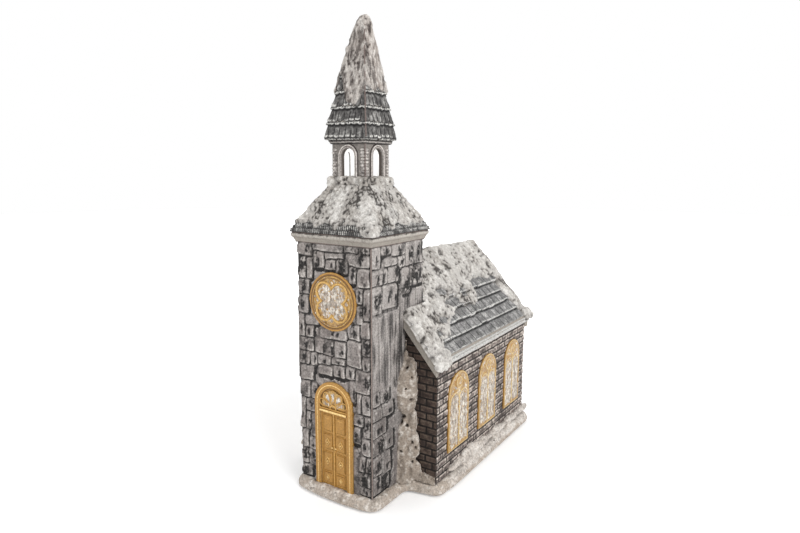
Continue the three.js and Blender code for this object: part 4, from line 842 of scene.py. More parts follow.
@dataclass
class RoofSnow:
    """Snow on the nave's roof.

    Attributes:
        line: Section of the roof.
        start: Where the snow starts along the ridge.
        length: Its length along the ridge.
        depth: Its depth.
        lift: Height of the solid's underside over the slates.
        right: How far it reaches on the right slope, as stops of place along the ridge and distance from it.
        left: The same on the left slope.
        holes: Bare patches on the right slope: distance from the ridge line, place along it, and half sizes.
        seed: Choice of pattern.
    """

    line: RoofLine
    start: float
    length: float
    depth: float = 3.4
    lift: float = 0.9
    right: tuple[tuple[float, float], ...] = (
        (-61, 60), (-46, 60), (-43, 53), (-37, 49), (-28, 49), (-20, 45), (-8, 40), (0, 37.5), (13, 35), (18, 38),
        (30, 39.5), (37, 38), (41, 34), (44, 26.5), (60, 24.5), (70, 27), (80, 30), (85, 38), (88, 46), (92, 52),
        (93, 60), (102, 60),
    )
    left: tuple[tuple[float, float], ...] = (
        (-61, 60), (-40, 58), (-28, 47), (-15, 36), (4, 29), (24, 35), (40, 27), (66, 35), (85, 32), (95, 58),
        (102, 60),
    )
    holes: tuple[Cell, ...] = (
        (33.5, 3.0, 3.2, 11.0), (27.0, -2.0, 2.6, 7.0), (40.5, -24.0, 1.6, 4.5), (31.0, 24.0, 1.8, 4.0),
        (30.0, 84.0, 3.0, 4.0), (45.5, -36.0, 1.5, 3.5),
    )
    seed: int = 64

    def reach(self, places: Places) -> Array:
        """Distance from the ridge line to which the snow reaches."""
        right = np.interp(places.across, *zip(*self.right))
        return np.where(places.side == 1, right, np.interp(places.across, *zip(*self.left)))

    def margin(self, places: Places) -> Array:
        """Distance of each place inside the snow's ragged edge."""
        points = places.points
        ragged = 1.5 * clouds(points, 5.0, self.seed) + 1.3 * clouds(points, 2.1, self.seed + 1)
        inside = self.line.down(self.reach(places)) - places.along
        for x, y, half_x, half_y in self.holes:
            away = np.hypot((points[:, 0] - x) / half_x, (points[:, 1] - y) / half_y)
            inside = np.minimum(inside, (away - 1) * half_x * 1.5)
        return inside + ragged

    def __call__(self, places: Places) -> Relief:
        """Relief of the snow over the slates."""
        points = places.points
        share = np.clip(np.abs(points[:, 0]) / self.reach(places), 0, 1) ** (1 / 1.4)
        on = np.clip((points[:, 1] - self.start) / self.length, 0, 1)
        ends = np.minimum(on, 1 - on) * self.length
        edge = np.minimum(np.minimum(1, (1 - share) * 5), ends / 5)
        wave = self.length / 45
        settled = 1.2 - 0.65 * (1 - share) * on
        form = settled + 0.45 * swell(points[:, 0] / wave, points[:, 1] / wave)
        crumbs, gaps = crumbled(points, 2.8, 1.0, self.seed + 2)
        soft = clouds(points, 6.5, self.seed + 4)
        pit = smooth(0.36, 0.12, spots(points, 5.6, self.seed + 5, 0.3) + 0.16 * clouds(points, 1.6, self.seed + 7))
        corner = np.exp(-((places.along - self.line.down(self.line.eave)) / 6) ** 2 - (ends - 5) ** 2 / 36)
        thick = self.lift + self.depth * (0.35 + 0.65 * edge) * form + 2.6 * corner
        cover = np.sqrt(np.clip(self.margin(places) / 2.0, 0, 1))
        lumps = 1.1 * crumbs + 0.6 * soft - 1.5 * pit
        up = cover * (thick + lumps) - 0.35 * (1 - cover)
        ending = np.sqrt(np.clip(ends / 1.8, 0, 1))
        hang = 3.0 + 1.2 * clouds(points, 4.0, self.seed + 6)
        height = (up * ending - hang * (1 - ending)) * np.maximum(places.normals[:, 2], 0.55)
        wash = np.maximum(1.05 * gaps * smooth(-0.9, 0.2, soft), 0.9 * pit)
        wash = np.maximum(np.maximum(wash, 0.3 * smooth(0.1, 0.8, soft)), 0.6 * smooth(0.5, 0.05, cover))
        return Relief(height, wash, smooth(-0.1, 0.7, crumbs), 0.35 + 0.5 * soft)


@dataclass(frozen=True)
class Lump:
    """Round lump of snow added to a form: its middle and its half sizes."""

    middle: Point
    half: Point


@dataclass
class SnowForm:
    """Free form of snow grown from a node: lumps are added, the whole is made one skin and roughened.

    Attributes:
        node: Node that the form stands for, or nothing for a heap of its own.
        voxel: Size of the new skin's faces.
        lumps: Round lumps added first.
        rough: Height of the roughness.
        pit: Depth of the pits.
        pits: Share of the places that have a pit.
        pit_size: Size of the cells that hold a pit or none.
        still: Where the form keeps its shape, 0 to 1, at points and normals.
        granular: Where it is made of loose crumbs, 0 to 1, at points and normals.
        stain: Extra dark paint at points, 0 to 1.
        holes: Dark holes at given places.
        crest: Direction from which the form is seen: holes are drawn out along it, and edges seen side-on get a
            painted highlight.
        seed: Choice of pattern.
    """

    node: str
    voxel: float
    lumps: list[Lump] = field(default_factory=list)
    rough: float = 0.8
    pit: float = 0.9
    pits: float = 0.4
    pit_size: float = 4.0
    still: Callable[[Array, Array], Array] | None = None
    granular: Callable[[Array, Array], Array] = lambda points, normals: np.zeros(len(points))
    stain: Callable[[Array], Array] = lambda points: np.zeros(len(points))
    holes: list[Lump] = field(default_factory=list)
    crest: Point | None = None
    seed: int = 81

    def skin(self) -> Mesh:
        """Skin of even faces round the node and its lumps."""
        form = bmesh.new()
        if self.node:
            form.from_mesh(bpy.data.objects[self.node].data)
        bmesh.ops.remove_doubles(form, verts=form.verts, dist=WELD)
        for lump in self.lumps:
            place = Matrix.Translation(Vector(lump.middle) * MM) @ Matrix.Diagonal((*lump.half, 1 / MM)) * MM
            bmesh.ops.create_icosphere(form, subdivisions=3, radius=1.0, matrix=place)
        holder = placed("holder", finished(form, "rough"))
        remesh = holder.modifiers.new("skin", "REMESH")
        remesh.mode = "VOXEL"
        remesh.voxel_size = self.voxel * MM
        relax = holder.modifiers.new("relax", "SMOOTH")
        relax.iterations = 3
        relax.factor = 0.6
        return applied(holder)

    def grown(self) -> Mesh:
        """Roughened skin with its paint masks."""
        mesh = self.skin()
        points = coordinates(mesh)
        flat = np.empty(len(points) * 3)
        mesh.vertex_normals.foreach_get("vector", flat)
        normals = flat.reshape(-1, 3)
        soft = clouds(points, 8.0, self.seed)
        fine = clouds(points, 1.6, self.seed + 2)
        crumbs, gaps = crumbled(points, 2.3, 1.0, self.seed + 1)
        hole = spots(points, self.pit_size, self.seed + 3, self.pits) + 0.07 * fine
        pit, rim = smooth(0.3, 0.17, hole), np.exp(-((hole - 0.38) / 0.07) ** 2)
        for given in self.holes:
            away = points - given.middle
            if self.crest is not None:
                away -= 0.8 * np.outer(away @ np.array(self.crest), self.crest)
            away = np.linalg.norm(away / given.half, axis=1) + 0.35 * fine
            pit = np.maximum(pit, smooth(1.2, 0.7, away))
        free = 1.0 if self.still is None else 1.0 - self.still(points, normals)
        loose = self.granular(points, normals)
        grit = 0.45 * clouds(points, (2.8, 2.8, 4.2), self.seed + 9)
        height = self.rough * (0.5 * soft + grit + 0.2 * fine + loose * 0.55 * crumbs) - self.pit * pit + 0.3 * rim
        moved = points + normals * (free * height)[:, None]
        mesh.vertices.foreach_set("co", (moved * MM).ravel())
        hollow = 0.4 * smooth(0.1, 0.9, -(0.5 * soft + 0.5 * fine + grit)) + self.stain(points)
        wash = np.maximum(np.maximum(pit, 0.4 * gaps * loose), hollow * (1 - loose)) * free
        wear = np.maximum(0.6 * rim, 0.7 * smooth(0.1, 0.7, fine + grit))
        wear = np.maximum(wear, smooth(0.0, 0.6, crumbs) * loose)
        # painted highlight: edges seen side-on along crest are lightened
        if self.crest is not None:
            wear = np.maximum(wear, smooth(0.5, 0.15, np.abs(normals @ np.array(self.crest)) + 0.2 * fine))
        Relief(np.zeros(len(points)), wash, wear, 1 - loose + 0.2 * soft).paint(mesh)
        mesh.update()
        return mesh


@dataclass
class Rolls:
    """Round mouldings on a wall, drawn as lines with a radius and made one mesh.

    Attributes:
        wall: The wall that they lie on.
        out: Distance of the wall's face from the frame's origin.
        shift: Distance along the wall to the place from which the rolls are measured.
        lines: Path, radius, rise and closure of each roll.
        traces: Path and radius of each roll that runs freely in space.
    """

    wall: Wall
    out: float
    shift: float = 0.0
    lines: list[tuple[Path, float, float, bool]] = field(default_factory=list)
    traces: list[tuple[list[Point], float]] = field(default_factory=list)

    def trace(self, path: list[Point], radius: float) -> None:
        """Adds a roll along a line in space: distances along the wall, up, and out of the frame's origin."""
        self.traces.append((path, radius))

    def roll(self, path: Path, radius: float, rise: float = 0.0, closed: bool = False) -> None:
        """Adds one roll.

        Args:
            path: Its line along and up the wall.
            radius: Its radius.
            rise: Distance of its line out of the wall's face.
            closed: True for a ring.
        """
        self.lines.append((path, radius, rise, closed))

    def ring(self, x: float, z: float, size: float, radius: float, rise: float, steps: int) -> None:
        """Adds a roll round a circle of a size about a point of the wall."""
        self.roll(arc(x, z, size, 0, 360, steps)[:-1], radius, rise, True)

    def mesh(self) -> Mesh:
        """The rolls as one mesh, painted by their height over the wall."""
        curve = bpy.data.curves.new("rolls", "CURVE")
        curve.dimensions = "3D"
        curve.bevel_depth = MM
        curve.bevel_resolution = 2
        curve.use_fill_caps = True
        highest = 0.1
        for path, radius, rise, closed in self.lines:
            spline = curve.splines.new("POLY")
            spline.points.add(len(path) - 1)
            for point, (along, up) in zip(spline.points, path):
                place = self.wall.place(along + self.shift, up, self.out + rise) * MM
                point.co = (*place, 1.0)
                point.radius = radius
            spline.use_cyclic_u = closed
            spline.use_smooth = True
            highest = max(highest, rise + radius)
        for path, radius in self.traces:
            spline = curve.splines.new("POLY")
            spline.points.add(len(path) - 1)
            for point, (along, up, out) in zip(spline.points, path):
                point.co = (*(self.wall.place(along, up, out) * MM), 1.0)
                point.radius = radius
        mesh = applied(placed("holder", curve))
        share = (coordinates(mesh) @ np.array(self.wall.value[2]) - self.out) / highest
        level = np.zeros(len(share))
        Relief(level, smooth(0.45, 0.05, share), smooth(0.6, 1.0, share), level + 0.4).paint(mesh)
        return mesh


def arc(x: float, y: float, radius: float, start: float, end: float, steps: int = 16) -> Path:
    """Points on an arc; the angles are in degrees, anticlockwise from the wall's own direction."""
    angles = [math.radians(start + (end - start) * i / steps) for i in range(steps + 1)]
    return [(x + radius * math.cos(angle), y + radius * math.sin(angle)) for angle in angles]


def arched(half: float, bottom: float, spring: float, x: float = 0.0, steps: int = 18) -> Path:
    """Line up one side, round the head and down the other side."""
    return [(x + half, bottom), *arc(x, spring, half, 0, 180, steps), (x - half, bottom)]


def merged(meshes: list[Mesh], name: str) -> Mesh:
    """Several meshes as one, with their attributes.

    Args:
        meshes: The meshes, which are used up.
        name: Name of the new mesh.

    Returns:
        The new mesh.
    """
    form = bmesh.new()
    for mesh in meshes:
        form.from_mesh(mesh)
        bpy.data.meshes.remove(mesh)
    return finished(form, name)


def round_rolls(middle: float, out: float, rolls: list[tuple[Path, float, float]]) -> Mesh:
    """The same rolls on all four walls of a square form.

    Args:
        middle: Place of the form's middle from front to back.
        out: Distance of the walls' faces from it.
        rolls: Path, radius and rise of each roll.

    Returns:
        The new mesh.
    """
    sides = []
    for wall in Wall:
        side = Rolls(wall, out + middle * wall.value[2].y, middle * wall.value[0].y)
        for path, radius, rise in rolls:
            side.roll(path, radius, rise)
        sides.append(side.mesh())
    return merged(sides, "rolls")


class Nodes:
    """Short ways to make and join shader nodes in one tree."""

    def __init__(self, tree: NodeTree) -> None:
        """Keeps the tree."""
        self.tree = tree

    def add(self, kind: str, inputs: dict | None = None, **settings: object) -> Node:
        """Makes a node.

        Args:
            kind: Blender's name of the node type.
            inputs: Values or sockets for its inputs, by name or number.
            settings: Other settings of the node.

        Returns:
            The new node.
        """
        node = self.tree.nodes.new(kind)
        for name, value in settings.items():
            setattr(node, name, value)
        self.feed(node, inputs or {})
        return node

    def feed(self, node: Node, inputs: dict) -> None:
        """Sets a node's inputs, by name or number, or joins them to sockets."""
        for name, value in inputs.items():
            if isinstance(value, NodeSocket):
                self.tree.links.new(value, node.inputs[name])
            else:
                node.inputs[name].default_value = value

    def bump(self, height: object, depth: float, strength: float = 1.0) -> NodeSocket:
        """Normals bent by a height, for a depth in millimetres."""
        ends = {"Height": height, "Distance": depth * MM, "Strength": strength}
        return self.add("ShaderNodeBump", ends).outputs[0]

    def blend(self, share: object, first: object, second: object, how: str = "MIX") -> NodeSocket:
        """Mix of two colours."""
        node = self.add("ShaderNodeMix", {0: share, 6: first, 7: second}, data_type="RGBA", blend_type=how)
        return node.outputs[2]

    def maths(self, how: str, first: object, second: object = 0.0, clamp: bool = False) -> NodeSocket:
        """Sum, product or the like of two values."""
        return self.add("ShaderNodeMath", {0: first, 1: second}, operation=how, use_clamp=clamp).outputs[0]

    def stretch(self, value: object, low: float, high: float, to_low: float = 0.0,
                to_high: float = 1.0) -> NodeSocket:
        """Value moved from one range to another, and kept in it."""
        ends = {0: value, 1: low, 2: high, 3: to_low, 4: to_high}
        return self.add("ShaderNodeMapRange", ends, clamp=True).outputs[0]

    def noise(self, place: object, scale: float, detail: float = 3.0, rough: float = 0.55) -> NodeSocket:
        """Soft noise from 0 to 1 at a place."""
        ends = {"Vector": place, "Scale": scale, "Detail": detail, "Roughness": rough}
        return self.add("ShaderNodeTexNoise", ends).outputs["Fac"]

    def mask(self, name: str) -> NodeSocket:
        """One of the paint masks of the mesh."""
        return self.add("ShaderNodeAttribute", attribute_name=name).outputs["Fac"]


class CastPaint:
    """Node group of paint on a cast: base coat, mottling, dark wash in the hollows, dry brush on the edges, also
    painted shade and light.
    """

    NAME = "cast_paint"
    COLOURS = ("Base", "Second", "Wash", "Brush")
    VALUES = {"Mottle": 0.25, "Brush Amount": 1.0, "Grain": 900.0, "Streak": 0.0}

    @classmethod
    def group(cls) -> NodeTree:
        """The group, built at its first use."""
        found = bpy.data.node_groups.get(cls.NAME)
        return found or cls.built()

    @classmethod
    def built(cls) -> NodeTree:
        """Makes the group."""
        tree = bpy.data.node_groups.new(cls.NAME, "ShaderNodeTree")
        for name in cls.COLOURS:
            tree.interface.new_socket(name=name, in_out="INPUT", socket_type="NodeSocketColor")
        for name, value in cls.VALUES.items():
            socket = tree.interface.new_socket(name=name, in_out="INPUT", socket_type="NodeSocketFloat")
            socket.default_value = value
        for name, kind in (("Color", "Color"), ("Roughness", "Float"), ("Height", "Float")):
            tree.interface.new_socket(name=name, in_out="OUTPUT", socket_type=f"NodeSocket{kind}")
        nodes = Nodes(tree)
        given = nodes.add("NodeGroupInput").outputs
        place = nodes.add("ShaderNodeTexCoord").outputs["Object"]
        upright = nodes.add("ShaderNodeMapping", {"Vector": place, "Scale": (1.0, 1.0, 0.12)}).outputs[0]
        patches = nodes.noise(place, 75.0, 4.0)
        grain = nodes.noise(place, given["Grain"], 4.0, 0.62)
        streaks = nodes.noise(upright, 420.0, 3.0)
        speckle = nodes.noise(place, 2300.0, 2.0)
        tint = nodes.maths("ADD", nodes.mask("tint"), nodes.stretch(patches, 0.3, 0.7, -0.3, 0.3), clamp=True)
        coat = nodes.blend(tint, given["Base"], given["Second"])
        light = nodes.maths("MULTIPLY", nodes.stretch(grain, 0.3, 0.7, -1.0, 1.0), given["Mottle"])
        streak = nodes.maths("MULTIPLY", nodes.stretch(streaks, 0.35, 0.7, -1.0, 1.0), given["Streak"])
        shade = nodes.maths("ADD", nodes.maths("ADD", light, streak), 1.0)
        bright = nodes.add("ShaderNodeHueSaturation", {"Value": shade, "Color": coat}).outputs[0]
        wear = nodes.maths("MULTIPLY", nodes.mask("wear"), nodes.stretch(grain, 0.32, 0.6, 0.15, 1.15))
        wear = nodes.maths("MULTIPLY", wear, given["Brush Amount"], clamp=True)
        brushed = nodes.blend(wear, bright, given["Brush"])
        wash = nodes.maths("ADD", nodes.mask("wash"), nodes.stretch(grain, 0.25, 0.75, 0.12, -0.22), clamp=True)
        painted = nodes.blend(wash, brushed, given["Wash"])
        rough = nodes.maths("ADD", nodes.stretch(grain, 0.2, 0.8, 0.62, 0.9), nodes.maths("MULTIPLY", wash, 0.06))
        bumps = nodes.maths("ADD", nodes.maths("MULTIPLY", grain, 0.7), nodes.maths("MULTIPLY", speckle, 0.3))
        nodes.add("NodeGroupOutput", {"Color": painted, "Roughness": rough, "Height": bumps})
        return tree


def new_material(name: str) -> tuple[Material, Nodes, Node]:
    """Empty node material with its shader and output joined.

    Args:
        name: Name of the material.

    Returns:
        The material, its nodes, and its shader.
    """
    material = bpy.data.materials.new(name)
    material.use_nodes = True
    material.node_tree.nodes.clear()
    nodes = Nodes(material.node_tree)
    shader = nodes.add("ShaderNodeBsdfPrincipled")
    nodes.add("ShaderNodeOutputMaterial", {"Surface": shader.outputs[0]})
    return material, nodes, shader


def shade(red: int, green: int, blue: int) -> tuple[float, float, float, float]:
    """Colour as seen on a screen, made linear for the shader."""
    values = [value / 255 for value in (red, green, blue)]
    linear = [value / 12.92 if value <= 0.04045 else ((value + 0.055) / 1.055) ** 2.4 for value in values]
    return (*linear, 1.0)


class Finish:
    """Look of a surface, made as a material at its first use."""

    name: str

    def material(self) -> Material:
        """The material."""
        return bpy.data.materials.get(self.name) or self.made()

    def made(self) -> Material:
        """Makes the material."""
        raise NotImplementedError


@dataclass(frozen=True)
class PaintedResin(Finish):
    """Matt painted cast resin.

    Attributes:
        name: Name of the material.
        base: Main colour as seen on a screen.
        second: Colour of its patches.
        wash: Colour of the dark paint in the hollows, and of painted shade.
        brush: Colour of the dry-brushed edges, and of painted highlights.
        mottle: Strength of the fine mottling.
        brush_amount: Strength of the dry brushing.
        grain: Fineness of the grain, in features per metre.
        streak: Strength of the upright streaks.
        bump: Depth of the grain in millimetres.
        metal: How metallic the paint is.
        shine: Roughness of a metallic paint; None takes the cast's own.
    """

    name: str
    base: Colour
    second: Colour
    wash: Colour
    brush: Colour
    mottle: float = 0.2
    brush_amount: float = 1.0
    grain: float = 900.0
    streak: float = 0.0
    bump: float = 0.12
    metal: float = 0.0
    shine: float | None = None

    def made(self) -> Material:
        """Makes the material."""
        material, nodes, shader = new_material(self.name)
        group = nodes.add("ShaderNodeGroup", node_tree=CastPaint.group())
        colours = zip(CastPaint.COLOURS, (self.base, self.second, self.wash, self.brush))
        for name, colour in colours:
            group.inputs[name].default_value = shade(*colour)
        values = (self.mottle, self.brush_amount, self.grain, self.streak)
        for name, value in zip(CastPaint.VALUES, values):
            group.inputs[name].default_value = value
        normal = nodes.bump(group.outputs["Height"], self.bump)
        nodes.feed(shader, {"Base Color": group.outputs["Color"], "Normal": normal, "Metallic": self.metal})
        if self.shine is None:
            nodes.feed(shader, {"Roughness": group.outputs["Roughness"], "Specular IOR Level": 0.3})
        else:
            nodes.feed(shader, {"Roughness": self.shine})
        return material


@dataclass(frozen=True)
class Glitter(Finish):
    """Pale glitter set in clear lacquer: grains of several pale colours, each facing its own way.

    Attributes:
        name: Name of the material.
        grains: Fineness of the grains, in grains per metre.
        light: Colour of the lightest blots.
        pale: Main colour of the grains.
        pink: Second colour of the grains.
        grey: Colour of the dark grains and blots.
        gold: Main colour of the gilded grains.
        bronze: Their second colour.
    """

    name: str = "glitter"
    grains: float = 900.0
    light: Colour = (236, 231, 220)
    pale: Colour = (186, 178, 167)
    pink: Colour = (172, 152, 134)
    grey: Colour = (112, 100, 86)
    gold: Colour = (184, 148, 82)
    bronze: Colour = (146, 108, 54)

    def made(self) -> Material:
        """Makes the material."""
        material, nodes, shader = new_material(self.name)
        place = nodes.add("ShaderNodeTexCoord").outputs["Object"]
        cells = nodes.add("ShaderNodeTexVoronoi", {"Vector": place, "Scale": self.grains})
        parts = nodes.add("ShaderNodeSeparateColor", {"Color": cells.outputs["Color"]}).outputs
        coat = nodes.blend(nodes.stretch(parts[0], 0.4, 0.8), shade(*self.pale), shade(*self.pink))
        coat = nodes.blend(nodes.stretch(parts[1], 0.8, 1.0, 0.0, 0.8), coat, shade(*self.grey))
        upright = nodes.add("ShaderNodeMapping", {"Vector": place, "Scale": (1.0, 1.0, 0.45)}).outputs[0]
        blots = nodes.noise(upright, 650.0, 3.0, 0.7)
        coat = nodes.blend(nodes.stretch(blots, 0.5, 0.6, 0.0, 0.85), coat, shade(*self.grey))
        coat = nodes.blend(nodes.stretch(blots, 0.47, 0.37, 0.0, 0.9), coat, shade(*self.light))
        gold = nodes.blend(nodes.stretch(parts[0], 0.3, 0.9), shade(*self.gold), shade(*self.bronze))
        gilt = nodes.maths("SUBTRACT", nodes.maths("ADD", nodes.mask("tint"), 0.06), parts[2])
        coat = nodes.blend(nodes.stretch(gilt, -0.06, 0.06), coat, gold)
        nodes.feed(shader, {"Base Color": coat, "Normal": nodes.bump(parts[1], 0.15, 0.8), "Roughness": 0.35,
                            "Metallic": 0.15, "Coat Weight": 0.25, "Coat Roughness": 0.2})
        return material


@dataclass(frozen=True)
class Plain(Finish):
    """Moulded plastic, rubber or metal of the closing plate and what it carries.

    Attributes:
        name: Name of the material.
        colour: Its colour as seen on a screen.
        roughness: Middle of its roughness.
        metallic: How metallic it is.
        grain: Fineness of the grain, in features per metre.
        bump: Depth of the grain in millimetres.
    """

    name: str
    colour: Colour
    roughness: float
    metallic: float = 0.0
    grain: float = 1500.0
    bump: float = 0.03

    def made(self) -> Material:
        """Makes the material."""
        material, nodes, shader = new_material(self.name)
        place = nodes.add("ShaderNodeTexCoord").outputs["Object"]
        grain = nodes.noise(place, self.grain, 3.0)
        patches = nodes.noise(place, 120.0, 3.0)
        dark = shade(*(round(value * 0.82) for value in self.colour))
        coat = nodes.blend(nodes.stretch(patches, 0.35, 0.65), shade(*self.colour), dark)
        rough = nodes.stretch(grain, 0.3, 0.7, self.roughness - 0.08, self.roughness + 0.08)
        nodes.feed(shader, {"Base Color": coat, "Roughness": rough, "Normal": nodes.bump(grain, self.bump),
                            "Metallic": self.metallic})
        return material


STONE = PaintedResin("stone", (164, 158, 154), (136, 128, 124), (15, 14, 14), (216, 210, 204), mottle=0.35,
                     streak=0.14, bump=0.16)
BRICK = PaintedResin("brick", (112, 101, 96), (84, 74, 72), (10, 9, 9), (226, 214, 203), mottle=0.35)
# darker copy of the brick for the gables: painted shade on the front-facing gable walls
SHADED_BRICK = PaintedResin("shaded_brick", (74, 60, 53), (56, 45, 40), (14, 11, 10), (112, 98, 86), mottle=0.35,
                          brush_amount=0.7)
SLATE = PaintedResin("slate", (138, 137, 136), (110, 109, 108), (22, 22, 22), (226, 224, 220), mottle=0.5)
DARK_SLATE = PaintedResin("dark_slate", (106, 104, 102), (80, 78, 77), (16, 15, 16), (226, 224, 219), mottle=0.35)
SNOW = PaintedResin("snow", (188, 184, 179), (168, 162, 155), (58, 54, 51), (228, 225, 220), mottle=0.25,
                    grain=1300.0, bump=0.25)
SPIRE_SNOW = PaintedResin("spire_snow", (184, 178, 172), (156, 146, 139), (58, 50, 47), (224, 219, 213),
                          mottle=0.25, grain=1300.0, streak=0.25, bump=0.2)
PLINTH_SNOW = PaintedResin("plinth_snow", (198, 190, 182), (174, 162, 150), (60, 51, 45), (230, 225, 218),
                           mottle=0.35, grain=900.0, bump=0.35)
DRIFT = PaintedResin("drift", (180, 172, 163), (152, 140, 128), (56, 47, 41), (222, 215, 206), mottle=0.35,
                     grain=900.0, bump=0.35)
SMOOTH = PaintedResin("smooth_resin", (158, 151, 142), (140, 132, 124), (42, 38, 36), (190, 184, 176), mottle=0.15,
                      streak=0.08)
# dark paint of the spire's mould seam, also used for the dark rolls of painted shade along the cornice and the belfry
# arches
DARK_SEAM_AND_SHADE = PaintedResin("dark_seam_and_shade", (84, 72, 68), (66, 55, 53), (36, 31, 30), (118, 105, 100), mottle=0.3)
SEAM = PaintedResin("seam", (136, 121, 114), (112, 97, 91), (60, 51, 48), (164, 151, 144), mottle=0.25)
GOLD = PaintedResin("gold_paint", (198, 154, 80), (166, 120, 52), (96, 62, 24), (242, 212, 146), mottle=0.2,
                    grain=900.0, bump=0.1, metal=0.35, shine=0.38)
# darker copy of the gold paint: painted shade on the nodes' flat gold faces behind the brighter rolls, and the darker
# gold of the round window's rings
SHADED_DARK_GOLD = PaintedResin("shaded_dark_gold", (168, 124, 58), (138, 98, 42), (84, 54, 20), (206, 168, 98), mottle=0.25,
                         grain=900.0, bump=0.1, metal=0.3, shine=0.46)
GILT_SHADOW = PaintedResin("gilt_shadow", (112, 78, 36), (92, 62, 28), (58, 38, 16), (146, 110, 60), mottle=0.3,
                           grain=900.0, metal=0.2, shine=0.5)
PALE_GOLD = PaintedResin("pale_gold", (196, 164, 106), (172, 136, 78), (104, 76, 38), (228, 208, 162), mottle=0.35,
                         grain=1500.0, bump=0.15, metal=0.15, shine=0.5)
GLITTER = Glitter()
FINISHES = {
    "snow_resin": SNOW,
    "stone_resin": STONE,
    "brick_resin": BRICK,
    "slate_resin": SMOOTH,
    "plain_resin": SMOOTH,
    "gold_resin": SHADED_DARK_GOLD,
    "glitter_pane": GLITTER,
    "black_plastic": Plain("black_plastic", (46, 46, 48), 0.5),
    "circuit_board": Plain("circuit_board", (44, 104, 66), 0.42),
    "bright_steel": Plain("bright_steel", (196, 196, 198), 0.28, 1.0, 900.0, 0.01),
    "cell_jacket": Plain("cell_jacket", (62, 94, 142), 0.3, 0.4, 700.0, 0.01),
    "lamp_lens": Plain("lamp_lens", (242, 230, 196), 0.18, 0.0, 500.0, 0.01),
    "rubber_pad": Plain("rubber_pad", (58, 58, 58), 0.85),
    "lead_jacket": Plain("lead_jacket", (142, 48, 42), 0.45),
}


def stone_with_glowing_inside(node: Object) -> Material:
    """Stone finish outside; on an open form's inner faces, painted light: flat white that glows a little, for light
    seen from the far side, and painted shade on the reveals.

    Args:
        node: The form, square in plan.

    Returns:
        The new material.
    """
    box = Span.of(node.name)
    material = STONE.material().copy()
    material.name = "stone_glowing_inside"
    nodes = Nodes(material.node_tree)
    shader = next(found for found in nodes.tree.nodes if found.type == "BSDF_PRINCIPLED")
    painted = shader.inputs["Base Color"].links[0].from_socket
    place = nodes.add("ShaderNodeSeparateXYZ", {0: nodes.add("ShaderNodeTexCoord").outputs["Object"]}).outputs
    far = 0.845  # share of their distance at which the left and back walls count, so their inner faces are painted white and glow
    sideways = nodes.maths("SUBTRACT", place[0], box.centre.x * MM)
    ahead = nodes.maths("SUBTRACT", place[1], box.centre.y * MM)
    reach = nodes.maths("MAXIMUM", nodes.maths("ABSOLUTE", sideways), nodes.maths("ABSOLUTE", ahead))
    sideways = nodes.maths("MAXIMUM", sideways, nodes.maths("MULTIPLY", sideways, -far))
    ahead = nodes.maths("MAXIMUM", nodes.maths("MULTIPLY", ahead, far), nodes.maths("MULTIPLY", ahead, -1.0))
    group = next(found for found in nodes.tree.nodes if found.type == "GROUP")
    group.inputs["Base"].default_value = shade(132, 126, 121)
    group.inputs["Second"].default_value = shade(98, 92, 88)
    inner, outer = (box.size.x / 2 - 3.1) * MM, (box.size.x / 2 - 1.0) * MM  # just inside the walls, in the stones
    # painted light: the far walls' inner faces are painted flat white
    bare_or_glowing = nodes.stretch(nodes.maths("MAXIMUM", sideways, ahead), inner, inner + 0.1 * MM, 1.0, 0.0)
    # painted shade: darker stone on the reveals and inner faces
    coat = nodes.blend(nodes.stretch(reach, outer, outer + 0.2 * MM, 1.0, 0.0), painted, shade(88, 80, 75))
    coat = nodes.blend(bare_or_glowing, coat, shade(250, 249, 247))
    # painted light: the white inner faces glow, though nothing there is a lamp
    nodes.feed(shader, {"Base Color": coat, "Emission Color": (1, 1, 1, 1),
                        "Emission Strength": nodes.maths("MULTIPLY", bare_or_glowing, 0.4)})
    return material


def tower_plan() -> tuple[float, float]:
    """Half width of the tower's walls, and the place of its middle from front to back."""
    cornice = Span.of("tower_cornice")
    return cornice.size.x / 2 - Tower.reach, cornice.centre.y


